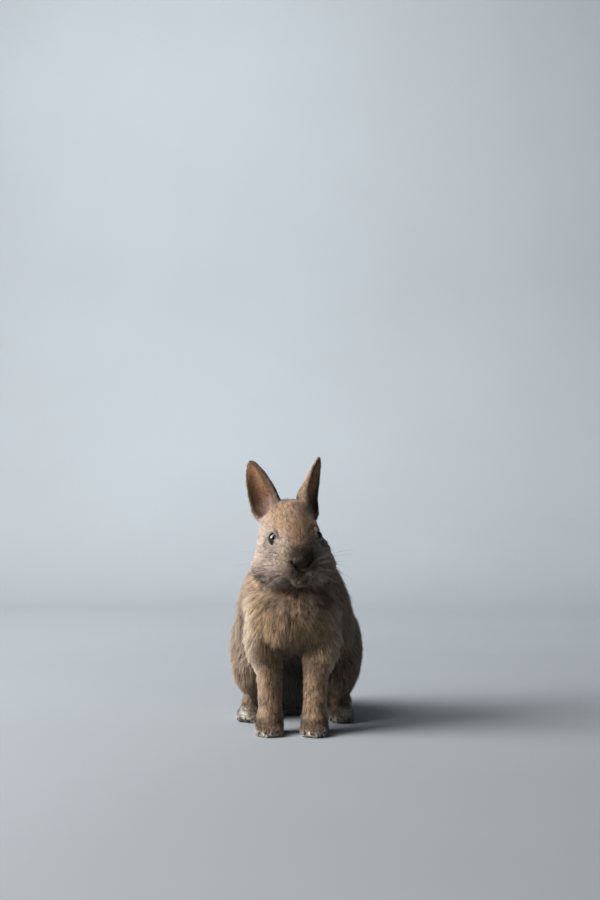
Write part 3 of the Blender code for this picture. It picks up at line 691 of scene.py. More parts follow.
@dataclass(frozen=True)
class Part:
    """What a piece is called, the slot of its finish and the solids that it stands for."""

    name: str
    slot: str
    nodes: tuple = ()

    def build(self, points: Array, faces: Array, material: Material, **values: Array) -> bpy.types.Object:
        """Adds the piece and makes it ride on the body.

        Args:
            points: Places in millimetres, (N, 3).
            faces: Corners of its faces.
            material: Its one material.
            values: Attributes of the points: a number each, or a linear colour each.

        Returns:
            The piece.
        """
        obj = add_mesh(self.name, points, faces, material)
        for name, array in values.items():
            is_colour = array.ndim > 1
            if is_colour:
                array = np.clip(np.pad(array, ((0, 0), (0, 1)), constant_values=1.0), 0.0, 1.0)
            made = obj.data.attributes.new(name, "FLOAT_COLOR" if is_colour else "FLOAT", "POINT")
            made.data.foreach_set("color" if is_colour else "value", array.astype(np.float32).ravel())
        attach(obj, BODY)
        if self.nodes:
            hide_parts(*self.nodes)
        LOG.info("%s: %d faces", self.name, len(faces))
        return obj


def grid_faces(rows: int, columns: int, wrap: bool = True) -> Array:
    """Quads of a grid of points counted row by row; wrap joins its last column to its first."""
    row, column = np.meshgrid(np.arange(rows - 1), np.arange(columns - (not wrap)), indexing="ij")
    after = (column + 1) % columns
    quads = [row * columns + column, row * columns + after, (row + 1) * columns + after]
    quads.append((row + 1) * columns + column)
    return np.stack(quads, axis=-1).reshape(-1, 4)


def closed_tubes(rings: Array, ends: Array) -> tuple[Array, Array, Array]:
    """Closed tubes of triangles through rings of points, with a point at each end.

    Args:
        rings: The rings' points, (tubes, rings, sides, 3), clockwise seen along the tube.
        ends: The two end points of each tube, (tubes, 2, 3).

    Returns:
        Points, triangles that face outwards, and each point's share along its tube.
    """
    count, steps, sides, _ = rings.shape
    each = steps * sides
    quads = grid_faces(steps, sides)
    edge = np.arange(sides)
    after = (edge + 1) % sides
    start = np.stack([np.full(sides, each), edge, after], axis=1)
    finish = np.stack([np.full(sides, each + 1), each - sides + after, each - sides + edge], axis=1)
    faces = np.concatenate([quads[:, [0, 2, 1]], quads[:, [0, 3, 2]], start, finish])
    points = np.concatenate([rings.reshape(count, each, 3), ends], axis=1)
    share = np.append(np.repeat(np.linspace(0.0, 1.0, steps), sides), [0.0, 1.0])
    faces = faces + np.arange(count)[:, None, None] * (each + 2)
    return points.reshape(-1, 3), faces.reshape(-1, 3), np.tile(share, count)


def tapered(lines: Array, radii: Array, sides: int) -> tuple[Array, Array, Array]:
    """Closed tapered tubes along many lines at once.

    Args:
        lines: Points along each line, (N, steps, 3).
        radii: The tube's radius at each point, (N, steps).
        sides: Corners of each ring.

    Returns:
        Points, triangles, and each point's share along its tube.
    """
    run = unit(np.gradient(lines, axis=1))
    across = unit(np.cross(run, [0.13, 0.21, 0.97]))
    up = np.cross(across, run)
    angle = np.linspace(0.0, FULL_TURN, sides, endpoint=False)[:, None]
    ring = np.cos(angle) * across[:, :, None] + np.sin(angle) * up[:, :, None]
    return closed_tubes(lines[:, :, None] + radii[..., None, None] * ring, lines[:, [0, -1]])


# --- Materials ---
class Shader:
    """One material and the nodes that feed its Principled shader."""

    def __init__(self, name: str, **values: float) -> None:
        """Starts a material; values set the shader's own sockets, with _ for a space."""
        self.material = bpy.data.materials.new(name)
        self.material.use_nodes = True
        self.tree = self.material.node_tree
        self.surface = self.tree.nodes["Principled BSDF"]
        for key, value in values.items():
            self.surface.inputs[key.replace("_", " ")].default_value = value

    def node(self, kind: str, **settings: object) -> bpy.types.Node:
        """A new node; settings name its properties."""
        made = self.tree.nodes.new(kind)
        for key, value in settings.items():
            setattr(made, key, value)
        return made

    def feed(self, made: bpy.types.Node, **feeds: Socket | float) -> bpy.types.Node:
        """Fills a node's inputs with plain values or with other nodes' results."""
        for key, value in feeds.items():
            if isinstance(value, Socket):
                self.tree.links.new(value, made.inputs[key])
            else:
                made.inputs[key].default_value = value
        return made

    def attribute(self, name: str, output: str = "Fac") -> Socket:
        """Reads an attribute of the mesh."""
        return self.node("ShaderNodeAttribute", attribute_name=name).outputs[output]

    def noise(self, scale: float, detail: float = 3.0) -> Socket:
        """Noise on the object's own coordinates; scale is in cycles to a metre."""
        where = self.node("ShaderNodeTexCoord").outputs["Object"]
        made = self.node("ShaderNodeTexNoise")
        return self.feed(made, Vector=where, Scale=scale, Detail=detail).outputs["Fac"]

    def ramp(self, source: Socket, stops: Sequence[tuple]) -> Socket:
        """A colour ramp over stops of (place, linear colour or grey level)."""
        made = self.feed(self.node("ShaderNodeValToRGB"), Fac=source)
        elements = made.color_ramp.elements
        while len(elements) < len(stops):
            elements.new(0.5)
        for element, (where, colour) in zip(elements, stops):
            element.position = where
            element.color = (*np.broadcast_to(colour, 3), 1.0)
        return made.outputs["Color"]

    def times(self, one: Socket, two: Socket) -> Socket:
        """The product of two colours."""
        made = self.node("ShaderNodeMix", data_type="RGBA", blend_type="MULTIPLY")
        self.feed(made, Factor=1.0)
        for source, target in zip((one, two), [k for k in made.inputs if k.type == "RGBA"]):
            self.tree.links.new(source, target)
        return next(k for k in made.outputs if k.type == "RGBA")

    def bump(self, source: Socket, strength: float, distance: float) -> None:
        """Bumps the surface by a height; the distance is in metres."""
        made = self.feed(self.node("ShaderNodeBump"), Height=source, Strength=strength, Distance=distance)
        self.feed(self.surface, Normal=made.outputs["Normal"])

    def painted(self, *colours: Socket) -> Material:
        """The material, with the product of the colours as its base colour."""
        self.tree.links.new(reduce(self.times, colours), self.surface.inputs["Base Color"])
        return self.material


@dataclass(frozen=True)
class CoatFinish:
    """Hair: the markings, darker at the root, with each tuft's own tint, which carries painted shade at the
    locks' edges.
    """

    root_to_tip: tuple = ((0.0, 0.16), (0.4, 0.80), (1.0, 1.22))
    tint_and_shade: tuple = ((0.0, 0.12), (0.5, 0.92), (1.0, 1.50))
    speck: tuple = ((0.3, 0.86), (0.7, 1.08))
    speck_scale: float = 900.0

    def material(self) -> Material:
        """Colour = markings x level from root to tip x tint with painted lock-edge shade x fine noise."""
        shader = Shader("coat", Roughness=0.62, Sheen_Weight=0.30, Specular_IOR_Level=0.25)
        return shader.painted(
            shader.attribute("markings", "Color"),
            shader.ramp(shader.attribute("along"), self.root_to_tip),
            shader.ramp(shader.attribute("tint_and_shade"), self.tint_and_shade),
            shader.ramp(shader.noise(self.speck_scale), self.speck),
        )


@dataclass(frozen=True)
class SkinFinish:
    """The skin under the coat: its markings, darker where hair covers it, bumped by fine down."""

    speck: tuple = ((0.3, 0.675), (0.7, 1.08))
    thin: tuple = ((0.0, 0.26), (1.0, 1.0))
    speck_scale: float = 1400.0

    def material(self) -> Material:
        """Colour = markings x noise x level by how thin the coat is; height = the same noise."""
        shader = Shader("skin", Roughness=0.85, Specular_IOR_Level=0.2)
        fine = shader.noise(self.speck_scale, 4.0)
        shader.bump(fine, 0.5, 0.0004)
        return shader.painted(
            shader.attribute("markings", "Color"),
            shader.ramp(fine, self.speck),
            shader.ramp(shader.attribute("thin"), self.thin),
        )


@dataclass(frozen=True)
class EyeFinish:
    """A wet dark eye: black pupil, deep brown iris with fine streaks, black rim."""

    pupil: float = 36.0 / 90.0  # as shares of a right angle from the eye's axis
    iris: float = 52.0 / 90.0
    black: tuple = (0.002, 0.002, 0.002)
    brown: tuple = (0.022, 0.010, 0.005)
    ring: tuple = (0.006, 0.004, 0.003)
    streaks: tuple = ((0.3, 0.55), (0.7, 1.3))

    def material(self) -> Material:
        """Colour by the angle from the eye's axis x fine streaks, under a clear wet coat."""
        shader = Shader("eye", Roughness=0.3, Coat_Weight=1.0, Coat_Roughness=0.01, Specular_IOR_Level=0.05)
        stops = [(0.0, self.black), (self.pupil, self.black), (self.pupil + 0.06, self.brown)]
        stops += [(self.iris - 0.05, self.brown), (self.iris, self.ring)]
        return shader.painted(
            shader.ramp(shader.attribute("from_axis"), stops),
            shader.ramp(shader.noise(1600.0), self.streaks),
        )


@dataclass(frozen=True)
class HornFinish:
    """Smooth horn, coloured by the share along it, with faint ridges where they are wanted."""

    name: str
    stops: tuple
    roughness: float
    ridges: float = 0.0

    def material(self) -> Material:
        """Colour by the share along the piece; height = fine noise x ridges."""
        shader = Shader(self.name, Roughness=self.roughness)
        if self.ridges:
            shader.bump(shader.noise(1800.0), self.ridges, 0.0001)
        return shader.painted(shader.ramp(shader.attribute("along"), self.stops))


CLAW_STOPS = ((0.0, (0.03, 0.02, 0.014)), (0.6, (0.06, 0.042, 0.03)), (1.0, (0.12, 0.09, 0.068)))
WHISKER_STOPS = ((0.0, (0.03, 0.02, 0.015)), (0.25, (0.30, 0.26, 0.22)), (1.0, (0.30, 0.27, 0.24)))


@dataclass(frozen=True)
class StageFinish:
    """The plain pale floor and backdrop."""

    colour: tuple = (0.345, 0.372, 0.395)

    def material(self) -> Material:
        """One pale colour with a faint, slow unevenness."""
        shader = Shader("stage", Roughness=0.9, Specular_IOR_Level=0.1)
        stops = [(where, np.multiply(self.colour, level)) for where, level in ((0.3, 0.98), (0.7, 1.02))]
        return shader.painted(shader.ramp(shader.noise(3.0), stops))


# --- The skin ---
@dataclass
class Skin:
    """One surface over all the flesh, inside the solids' outline by the coat's depth."""

    voxel: float = 1.8
    fair_rounds: int = 7
    normal_rounds: int = 12
    finish: SkinFinish = SkinFinish()

    # Where the mesh is made finer: a middle in the head and a radius for each halving.
    FINE = (((0.0, 6.0, -8.0), (25.0, 19.0)), *((tuple(eye.middle()), (17.0, 13.0)) for eye in EYES))
    # Grooves of the face: the line, how deep it is cut and its half width there.
    CUTS = ((NOSTRIL, 3.0, 1.5), (PHILTRUM, 1.3, 1.1), (LIP, 1.5, 1.1))
    # Bare places along the same lines: the line, how bare it is and its half width.
    BARE = ((NOSTRIL, 1.0, 2.0), (PHILTRUM, 0.8, 0.9), (LIP, 0.8, 1.0))

    def merged(self, nodes: Sequence[str]) -> bpy.types.Mesh:
        """The named solids as one closed surface, remeshed on a grid of voxels."""
        joined = bmesh.new()
        for name in nodes:
            joined.from_mesh(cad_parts[name].data)
        bmesh.ops.remove_doubles(joined, verts=joined.verts, dist=1e-6)
        mesh = bpy.data.meshes.new("flesh")
        joined.to_mesh(mesh)
        joined.free()
        holder = bpy.data.objects.new("flesh", mesh)
        bpy.context.scene.collection.objects.link(holder)
        remesh = holder.modifiers.new("Remesh", "REMESH")
        remesh.mode = "VOXEL"
        remesh.voxel_size = self.voxel * MM
        bpy.context.view_layer.update()
        graph = bpy.context.evaluated_depsgraph_get()
        whole = bpy.data.meshes.new_from_object(holder.evaluated_get(graph))
        bpy.data.objects.remove(holder)
        return whole

    def refined(self, mesh: bpy.types.Mesh) -> Surface:
        """Halves the edges near the eyes and muzzle, then cuts every face into triangles."""
        shape = bmesh.new()
        shape.from_mesh(mesh)
        for level in range(2):
            shape.verts.index_update()
            head = HEAD.inward(np.array([v.co for v in shape.verts]) / MM)
            near = np.zeros(len(head), bool)
            for middle, radii in self.FINE:
                near |= np.linalg.norm(head - np.array(middle), axis=1) < radii[level]
            edges = [e for e in shape.edges if near[e.verts[0].index] and near[e.verts[1].index]]
            bmesh.ops.subdivide_edges(shape, edges=edges, cuts=1, use_grid_fill=True)
        bmesh.ops.triangulate(shape, faces=shape.faces)
        shape.to_mesh(mesh)
        shape.free()
        points = np.empty(len(mesh.vertices) * 3, np.float32)
        mesh.vertices.foreach_get("co", points)
        corners = np.empty(len(mesh.loops), np.int32)
        mesh.loops.foreach_get("vertex_index", corners)
        return Surface(points.reshape(-1, 3).astype(float) / MM, corners.reshape(-1, 3))

    def sink(self, surface: Surface) -> None:
        """Draws the surface in along its evened normals by the coat's depth."""
        depth = surface.relaxed(hair_values(zone_shares(surface.points), "depth"), 8)
        way = unit(surface.relaxed(surface.normals, self.normal_rounds))
        surface.points = surface.points - way * depth[:, None]
        surface.find_normals()

    def carve(self, surface: Surface) -> None:
        """Cuts the nostrils, philtrum and lips, and draws the lids over the eyes."""
        head = HEAD.inward(surface.points)
        depth = sum(deep * face_groove(head, line, width) for line, deep, width in self.CUTS)
        head = head - (surface.normals @ HEAD.axes()) * depth[:, None]
        for eye in EYES:
            head = self.lidded(head, eye)
        surface.points = HEAD.outward(head)
        surface.find_normals()

    def lidded(self, head: Array, eye: EyeSpot) -> Array:
        """Shapes the skin round an eye.

        Outside the opening the skin stands at least a lid's thickness off the ball, by the
        smooth larger of its own distance and that one. Inside it, it falls behind the ball.

        Args:
            head: The skin's points in the head's lengths.
            eye: The eye.

        Returns:
            The moved points.
        """
        distance, angle, opening = eye.measure(head)
        rim = eye.radius + eye.lid
        lid = np.logaddexp(distance / eye.softness, rim / eye.softness) * eye.softness
        near = rise(angle, 1.5, 1.15) * rise(distance, 17.0, 12.5)
        outside = distance + (lid - distance) * near
        behind = eye.radius - eye.sunk
        edge = rise(angle, opening - 0.10, opening + 0.05)
        wanted = np.where(near > 0, behind + (outside - behind) * edge, distance)
        wanted = np.where((angle < opening + 0.06) & (distance < 20.0), wanted, outside)
        return eye.middle() + unit(head - eye.middle()) * wanted[:, None]

    def bare(self, points: Array) -> Array:
        """1 where no hair grows: in the nostrils, the lips' cleft and on the lids' rims."""
        head = HEAD.inward(points)
        value = sum(level * face_groove(head, line, width) for line, level, width in self.BARE)
        for eye in EYES:
            distance, angle, opening = eye.measure(head)
            value += rise(angle, opening + 0.09, opening + 0.03) * rise(distance, 15.0, 13.0)
        return np.clip(value, 0.0, 1.0)

    def unwrap(self) -> Array:
        """An unwrap of the skin's own shape, as one place for each corner."""
        bpy.context.view_layer.objects.active = self.obj
        self.obj.select_set(True)
        self.obj.data.uv_layers.new(name="OFBake")
        bpy.ops.object.mode_set(mode="EDIT")
        bpy.ops.mesh.select_all(action="SELECT")
        bpy.ops.uv.smart_project(angle_limit=math.radians(70.0), island_margin=0.002)
        bpy.ops.object.mode_set(mode="OBJECT")
        self.obj.select_set(False)
        places = np.empty(len(self.obj.data.loops) * 2, np.float32)
        self.obj.data.uv_layers["OFBake"].uv.foreach_get("vector", places)
        return places.reshape(-1, 3, 2)

    def build(self) -> None:
        """Makes the skin, with its markings and how thin the coat is: in the ears and on the lids."""
        nodes = tuple(sorted(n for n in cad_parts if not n.startswith(("claw", "eye"))))
        surface = self.refined(self.merged((*nodes, "eye_left", "eye_right")))
        surface.fair(self.fair_rounds)
        self.sink(surface)
        surface.fair(2)
        self.carve(surface)
        self.surface = surface
        self.shares = zone_shares(surface.points)
        self.markings = Markings(surface.points, self.shares).colours()
        thin = 0.75 * self.shares[Zone.EAR_INSIDE] + 0.38 * self.shares[Zone.EYE_RIM]
        skin = Part("skin", "coat", nodes)
        material = self.finish.material()
        self.obj = skin.build(surface.points, surface.triangles, material, markings=self.markings, thin=thin)


# --- The coat ---
class CoatPart(Enum):
    """The coat's pieces, each with the zones that it covers."""

    FACE = ("coat_face", (Zone.FOREHEAD, Zone.MUZZLE, Zone.NOSE, Zone.EYE_RIM))
    CHEEKS = ("coat_cheeks", (Zone.CHEEK, Zone.JOWL))
    EARS = ("coat_ears", (Zone.EAR_BACK, Zone.EAR_INSIDE))
    NECK = ("coat_neck", (Zone.NAPE,))
    CHEST = ("coat_chest", (Zone.CHEST,))
    TRUNK = ("coat_trunk", (Zone.TRUNK, Zone.BELLY))
    HAUNCHES = ("coat_haunches", (Zone.HAUNCH, Zone.TAIL))
    FORELEGS = ("coat_forelegs", (Zone.FORELEG,))
    FEET = ("coat_feet", (Zone.FOREPAW, Zone.HINDFOOT))


# A tuft is a spindle: its root, a ring of three where it bends, and its tip.
TUFT_POINTS = 5
TUFT_FACES = np.array([[0, 1, 2], [0, 2, 3], [0, 3, 1], [2, 1, 4], [3, 2, 4], [1, 3, 4]])
TUFT_BEND = 0.42  # share of the length where the ring is
TUFT_ALONG = np.array([0.0, TUFT_BEND, TUFT_BEND, TUFT_BEND, 1.0])
RING_DEG = (90.0, 210.0, 330.0)
PATCH = 0.003 * np.array([[0.0, -0.5], [0.0, 0.0], [-0.4, 0.0], [0.4, 0.0], [0.0, 0.5]])


@dataclass
class Roots:
    """The places where tufts grow, with the skin's values there."""

    points: Array
    normals: Array
    lie: Array
    uv: Array
    markings: Array
    shares: Shares


@dataclass
class Coat:
    """Fine tufts over the skin, in locks that follow the coat's lie."""

    skin: Skin
    most: int = 33000  # tufts in one piece
    total: int = 246000
    lie_rounds: int = 24
    softness: float = 0.72  # how far a tuft's shading follows the skin's normal
    strand: float = 1.9  # the width of a strand, which gathers before its lock does
    strand_gather: float = 0.6
    lock_gather: float = 0.7
    small_lock: float = 3.0
    large_lock: float = 5.0
    thickness: float = 0.5  # a tuft's thickness as a share of its width
    rooted: float = 0.35  # how deep a root lies in the skin
    bulge: float = 0.10  # how far the ring stands above the straight line, as a share of the length
    turn_spread: float = 0.15  # radians
    lift_spread_deg: float = 4.5
    finish: CoatFinish = CoatFinish()

    def __post_init__(self) -> None:
        """Works out the skin's values that every piece reads."""
        surface, shares = self.skin.surface, self.skin.shares
        lie = flat_on(lie_of(surface.points, shares), surface.normals)
        for _ in range(self.lie_rounds):
            lie = unit(flat_on(surface.relaxed(unit(lie), 1, 0.6), surface.normals))
        self.lie = lie
        self.soft_normals = unit(surface.relaxed(surface.normals, 6))
        density = hair_values(shares, "density") * (1.0 - self.skin.bare(surface.points))
        density *= 0.35 + 0.65 * band(surface.points, z=(0.5, 4.0))
        areas = 0.5 * np.linalg.norm(surface.crosses(), axis=1)
        self.wanted = areas * density[surface.triangles].mean(axis=1)
        self.wanted *= self.total / self.wanted.sum()
        per_part = np.stack([sum(shares[z] for z in part.value[1]) for part in CoatPart])
        self.group = np.argmax(per_part[:, surface.triangles].mean(axis=2), axis=0)

    def roots(self, number: int, uv: Array) -> Roots:
        """Spreads the roots of one piece evenly over its triangles.

        Roots are taken at even steps along the running total of the wanted counts, each moved a
        random part of a step, and at a random place in its triangle.

        Args:
            number: The piece's number.
            uv: The skin's unwrap, (triangles, 3, 2).

        Returns:
            The roots.
        """
        rng = np.random.default_rng(SEED + number)
        mine = np.flatnonzero(self.group == number)
        running = np.cumsum(self.wanted[mine])
        count = min(int(running[-1]), self.most)
        steps = (np.arange(count) + rng.random(count)) * running[-1] / count
        face = mine[np.minimum(np.searchsorted(running, steps), len(mine) - 1)]
        root, other = np.sqrt(rng.random(count)), rng.random(count)
        weights = np.stack([1 - root, root * (1 - other), root * other], axis=1)
        corners = self.skin.surface.triangles[face]

        def mixed(values: Array) -> Array:
            """Values of the corners at the root's place."""
            return np.einsum("nk,nk...->n...", weights, values[corners])

        return Roots(
            points=mixed(self.skin.surface.points),
            normals=unit(mixed(self.soft_normals)),
            lie=mixed(self.lie),
            uv=np.einsum("nk,nkc->nc", weights, uv[face]),
            markings=mixed(self.skin.markings),
            shares={zone: mixed(share) for zone, share in self.skin.shares.items()},
        )

    def spindles(self, roots: Roots, rng: np.random.Generator) -> tuple[Array, Array, Array]:
        """The tufts' points, their shading normals and each one's tint.

        A tuft leaves its root at the lift angle, turned sideways by slow and fast noise. Its tip
        moves towards the middle of its strand and lock, and its ring stands above the straight
        line from root to tip. Tufts at a lock's edge are darker as painted shade; the ticked ones are darker
        for their dark tips.

        Args:
            roots: Where the tufts grow.
            rng: The piece's random numbers.

        Returns:
            Points (N, 5, 3), normals (N, 5, 3) and tints from 0 to 1 (N,).
        """
        count, normal = len(roots.points), roots.normals
        names = ("length", "width", "lift_deg", "lock", "lock_size", "tick")
        hair = {name: hair_values(roots.shares, name) for name in names}
        strand, strand_number = locks(roots.points, self.strand)
        small, small_number = locks(strand, self.small_lock)
        large, large_number = locks(strand, self.large_lock)
        is_large = rise(hair["lock_size"], 3.4, 4.4)
        middle = small + (large - small) * is_large[:, None]
        number = np.where(is_large > 0.5, large_number, small_number)

        lie = unit(flat_on(roots.lie, normal))
        turn = 0.24 * waves(roots.points, 26.0, 11) + 0.15 * (number - 0.5)
        turn = (turn + rng.normal(0.0, self.turn_spread, count))[:, None]
        way = lie * np.cos(turn) + np.cross(normal, lie) * np.sin(turn)
        lift = hair["lift_deg"] * (1.0 + 0.16 * waves(roots.points, 11.0, 12))
        lift = np.radians(np.clip(lift + rng.normal(0.0, self.lift_spread_deg, count), 3.0, 60.0))[:, None]
        length = hair["length"] * rng.uniform(0.72, 1.15, count) * (0.85 + 0.3 * number)
        hanging = roots.shares[Zone.CHEST] * band(roots.points, z=(128.0, 100.0), x=(44.0, 28.0))
        fringe = crown_fringe(HEAD.inward(roots.points))
        length = (length * (1.0 + 0.6 * hanging + 0.8 * fringe))[:, None]
        to_middle = flat_on(middle - strand, normal)
        # Painted shade: the farther a tuft sits from its lock's middle, the darker its tint.
        edge = rise(np.linalg.norm(to_middle, axis=1) / hair["lock_size"], 0.25, 0.70)
        gather = self.lock_gather * to_middle * hair["lock"][:, None]
        gather += self.strand_gather * flat_on(strand - roots.points, normal)
        run = way * np.cos(lift) + normal * np.sin(lift)
        start = roots.points - self.rooted * normal
        bend = start + TUFT_BEND * (length * run + 0.75 * gather) + normal * (self.bulge * length)

        across = unit(np.cross(run, normal))
        up = np.cross(across, run)
        half = 0.5 * (hair["width"] * rng.uniform(0.75, 1.25, count))[:, None]
        ring = np.radians(RING_DEG)
        spokes = [half * (math.cos(a) * across + self.thickness * math.sin(a) * up) for a in ring]
        points = np.stack([start, *(bend + spoke for spoke in spokes), start + length * run + gather], axis=1)
        points[..., 2] = np.maximum(points[..., 2], 0.15)

        outward = np.stack([up, *(unit(spoke) for spoke in spokes), up], axis=1)
        soft = self.softness
        normals = unit((1.0 - soft) * outward + soft * normal[:, None, :] + 0.12 * up[:, None, :])
        dark = 0.5 * rng.random(count) + 0.5 * strand_number < 0.62 * hair["tick"] + 0.02
        # Tint: random by lock and strand, less painted shade at a lock's edge; ticked tufts are dark.
        tint_and_shade = 0.60 + 0.26 * (number - 0.5) + 0.34 * (strand_number - 0.5) - 0.34 * edge
        tint_and_shade += rng.normal(0.0, 0.09, count)
        tint_and_shade = np.where(dark, 0.10 + 0.20 * rng.random(count), tint_and_shade)
        return points, normals, np.clip(tint_and_shade, 0.0, 1.0)

    def piece(self, name: str, number: int, uv: Array, material: Material) -> None:
        """Makes one of the coat's pieces, with a small patch of the unwrap for each tuft."""
        roots = self.roots(number, uv)
        points, normals, tint_and_shade = self.spindles(roots, np.random.default_rng(SEED * 7 + number))
        faces = (np.arange(len(tint_and_shade))[:, None, None] * TUFT_POINTS + TUFT_FACES).reshape(-1, 3)
        obj = Part(name, "coat").build(
            points.reshape(-1, 3),
            faces,
            material,
            markings=np.repeat(roots.markings, TUFT_POINTS, axis=0),
            along=np.tile(TUFT_ALONG, len(tint_and_shade)),
            tint_and_shade=np.repeat(tint_and_shade, TUFT_POINTS),
        )
        corner_uv = np.clip((roots.uv[:, None, :] + PATCH)[:, TUFT_FACES.ravel()], 0.0, 1.0)
        layer = obj.data.uv_layers.new(name="OFBake")
        layer.uv.foreach_set("vector", corner_uv.astype(np.float32).ravel())
        obj.data.normals_split_custom_set_from_vertices(normals.reshape(-1, 3).astype(np.float32))

    def build(self) -> None:
        """Makes every piece of the coat."""
        uv = self.skin.unwrap()
        material = self.finish.material()
        for number, part in enumerate(CoatPart):
            self.piece(part.value[0], number, uv, material)


# --- Eyes, whiskers and claws ---
@dataclass
class Eyeball:
    """A ball with a raised cornea, looking along the eye's axis."""

    spot: EyeSpot
    rows: int = 40
    columns: int = 48
    cornea: float = 0.55
    cornea_deg: float = 34.0

    def build(self, material: Material) -> None:
        """Radius = ball + cornea x exp(-(angle / cornea angle)^2), on rings from back to front."""
        angle = np.linspace(math.pi, 0.0, self.rows)[1:-1, None]
        bearing = np.linspace(0.0, FULL_TURN, self.columns, endpoint=False)[:, None]
        axis, level = self.spot.axis(), self.spot.level()
        raised = self.cornea * np.exp(-((np.degrees(angle) / self.cornea_deg) ** 2))
        radius = (self.spot.radius + raised)[..., None]
        aside = np.cos(bearing) * level + np.sin(bearing) * np.cross(level, axis)
        rings = radius * (np.cos(angle)[..., None] * axis + np.sin(angle)[..., None] * aside)
        poles = np.stack([-axis * self.spot.radius, axis * (self.spot.radius + self.cornea)])
        local, faces, _ = closed_tubes(rings[None], poles[None])
        from_axis = np.arccos(np.clip(unit(local) @ axis, -1.0, 1.0)) / (math.pi / 2)
        part = Part(f"eyeball_{self.spot.side}", "eye", (f"eye_{self.spot.side}",))
        part.build(HEAD.outward(local + self.spot.middle()), faces, material, from_axis=from_axis)


@dataclass
class Whiskers:
    """Fine stiff hairs on the pads beside the nose."""

    per_side: int = 15
    in_row: int = 4
    shortest: float = 26.0
    longest: float = 58.0
    thick: float = 0.24
    taper: float = 0.85
    steps: int = 12
    sides: int = 4
    finish: HornFinish = HornFinish("whisker", WHISKER_STOPS, 0.35)

    def lines(self, side: float, rng: np.random.Generator) -> Array:
        """Arcs that leave the pad outwards, then sweep back and sag a little."""
        row, column = np.divmod(np.arange(self.per_side), self.in_row)
        start = np.stack([9.0 + 1.6 * column, 4.0 + 3.0 * column, -3.5 - 2.8 * row], axis=1)
        start += rng.normal(0.0, 0.4, start.shape)
        length = rng.uniform(self.shortest, self.longest, self.per_side)[:, None, None]
        climb = 0.42 - 0.26 * row + 0.05 * column
        out = np.stack([np.full(self.per_side, 1.0), 0.10 + 0.22 * column, climb], axis=1)
        out = unit(out + rng.normal(0.0, 0.09, out.shape))
        t = np.linspace(0.0, 1.0, self.steps)[None, :, None]
        sag = np.array([0.0, 0.16, -0.22]) * (length * t**2)
        return (start[:, None] + out[:, None] * (length * t) + sag) * [side, 1.0, 1.0]

    def build(self) -> None:
        """Every whisker as one piece of tapered tubes."""
        rng = np.random.default_rng(SEED + 500)
        lines = HEAD.outward(np.concatenate([self.lines(side, rng) for side in SIDES.values()]))
        radii = self.thick * (1.0 - self.taper * np.linspace(0.0, 1.0, self.steps))
        radii = np.broadcast_to(radii, lines.shape[:2])
        points, faces, along = tapered(lines, radii, self.sides)
        Part("whiskers", "coat").build(points, faces, self.finish.material(), along=along)


@dataclass
class Claws:
    """A curved claw at each toe, in the place of its plain solid."""

    steps: int = 12
    sides: int = 12
    slim: float = 0.28  # its radius as a share of the solid's width
    rooted: float = 1.2  # how far it reaches back into the toe
    finish: HornFinish = HornFinish("claw_horn", CLAW_STOPS, 0.38, 0.3)

    def build(self) -> None:
        """Each claw runs from the back of its solid to the front, and droops by a square law."""
        material = self.finish.material()
        t = np.linspace(0.0, 1.0, self.steps)
        for name in sorted(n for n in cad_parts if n.startswith("claw")):
            low, high = (np.array(corner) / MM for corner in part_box(name))
            size = high - low
            radius = self.slim * size[0]
            back = np.array([(low[0] + high[0]) / 2.0, high[1] + self.rooted, high[2] - radius])
            run = np.array([0.0, -(size[1] + self.rooted), 0.0])
            line = back + t[:, None] * run - np.outer(t**2, [0.0, 0.0, size[2] - 1.7 * radius])
            radii = radius * np.sqrt(np.clip(1.0 - t**1.7 * 0.94, 0.0, 1.0))
            points, faces, along = tapered(line[None], radii[None], self.sides)
            points[:, 2] = np.maximum(points[:, 2], 0.05)
            Part(f"horn_{name}", "claw", (name,)).build(points, faces, material, along=along)


# --- Studio ---
@dataclass(frozen=True)
class Light:
    """A soft square light that looks at a point; places are in metres."""

    name: str
    place: tuple
    aim: tuple
    size: float
    power: float
    colour: tuple
    spread_deg: float = 180.0

    def build(self) -> None:
        """Adds the light."""
        data = bpy.data.lights.new(self.name, "AREA")
        data.shape, data.size = "SQUARE", self.size
        data.energy, data.color = self.power, self.colour
        data.spread = math.radians(self.spread_deg)
        obj = bpy.data.objects.new(self.name, data)
        obj.location = self.place
        way = Vector(self.aim) - Vector(self.place)
        obj.rotation_euler = way.to_track_quat("-Z", "Y").to_euler()
        bpy.context.scene.collection.objects.link(obj)


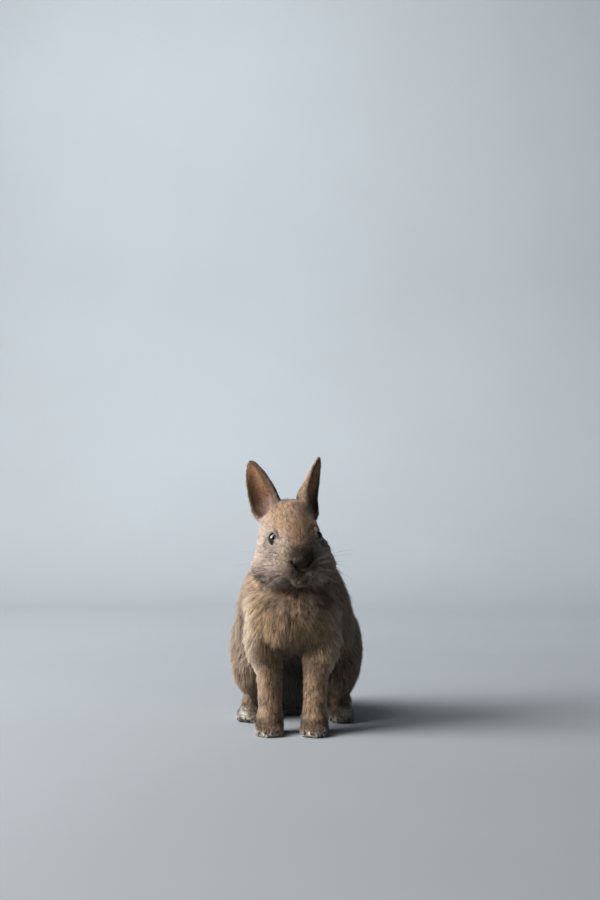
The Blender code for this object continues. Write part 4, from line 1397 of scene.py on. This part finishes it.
@dataclass
class Studio:
    """The camera, the pale floor that curves up into a backdrop, and the lights."""

    camera_place: tuple = (0.0523, -1.3608, 0.240)
    azimuth_deg: float = 1.975
    pitch_deg: float = 2.25
    lens: float = 50.0
    sensor: float = 36.0
    half_width: float = 4.0
    front: float = -3.2
    back: float = 1.4
    bend: float = 0.9
    height: float = 4.0
    sky: tuple = (0.80, 0.88, 1.0, 1.0)
    sky_strength: float = 0.055
    lights: tuple = (
        Light("key", (-1.85, -0.78, 1.15), (0.0, -0.03, 0.13), 1.4, 98.0, (1.0, 0.985, 0.97)),
        Light("top", (-0.9, -0.75, 2.1), (0.0, 0.0, 0.1), 1.4, 10.0, (0.97, 0.985, 1.0)),
        Light("fill", (1.9, -1.6, 0.9), (0.0, 0.0, 0.13), 1.6, 0.25, (0.90, 0.95, 1.0)),
        Light("wall", (-1.2, 0.2, 2.4), (0.2, 2.2, 0.8), 2.0, 36.0, (0.97, 0.985, 1.0), 95.0),
    )

    def camera(self) -> None:
        """The view: level but for a small pitch, with no shift."""
        data = bpy.data.cameras.new("camera")
        data.sensor_fit = "VERTICAL"
        data.sensor_height = data.sensor_width = self.sensor
        data.lens = self.lens
        obj = bpy.data.objects.new("camera", data)
        obj.location = self.camera_place
        obj.rotation_euler = (math.radians(90.0 + self.pitch_deg), 0.0, math.radians(self.azimuth_deg))
        bpy.context.scene.collection.objects.link(obj)
        bpy.context.scene.camera = obj

    def floor(self) -> None:
        """A level floor, a quarter circle and a wall, as one profile carried sideways."""
        arc = np.linspace(0.0, math.pi / 2, 17)
        y = np.concatenate([[self.front], self.back + self.bend * np.sin(arc), [self.back + self.bend]])
        z = np.concatenate([[0.0], self.bend * (1.0 - np.cos(arc)), [self.height]])
        x = np.linspace(-self.half_width, self.half_width, 9)
        points = np.stack(np.broadcast_arrays(x[None, :], y[:, None], z[:, None]), axis=-1)
        faces = grid_faces(len(y), len(x), wrap=False)
        add_mesh("floor", points.reshape(-1, 3) / MM, faces, StageFinish().material())

    def build(self) -> None:
        """Sets up the studio with a low, even world light."""
        self.camera()
        self.floor()
        for light in self.lights:
            light.build()
        world = bpy.data.worlds.new("world")
        world.use_nodes = True
        background = world.node_tree.nodes["Background"]
        background.inputs["Color"].default_value = self.sky
        background.inputs["Strength"].default_value = self.sky_strength
        bpy.context.scene.world = world
        bpy.context.scene.view_settings.view_transform = "Standard"
        LOG.info("studio")


def main() -> None:
    """Builds the rabbit and its studio."""
    logging.basicConfig(level=logging.INFO, format="%(message)s")
    Studio().build()
    skin = Skin()
    skin.build()
    Coat(skin).build()
    eye_material = EyeFinish().material()
    for spot in EYES:
        Eyeball(spot).build(eye_material)
    Whiskers().build()
    Claws().build()


if __name__ == "__main__":
    main()
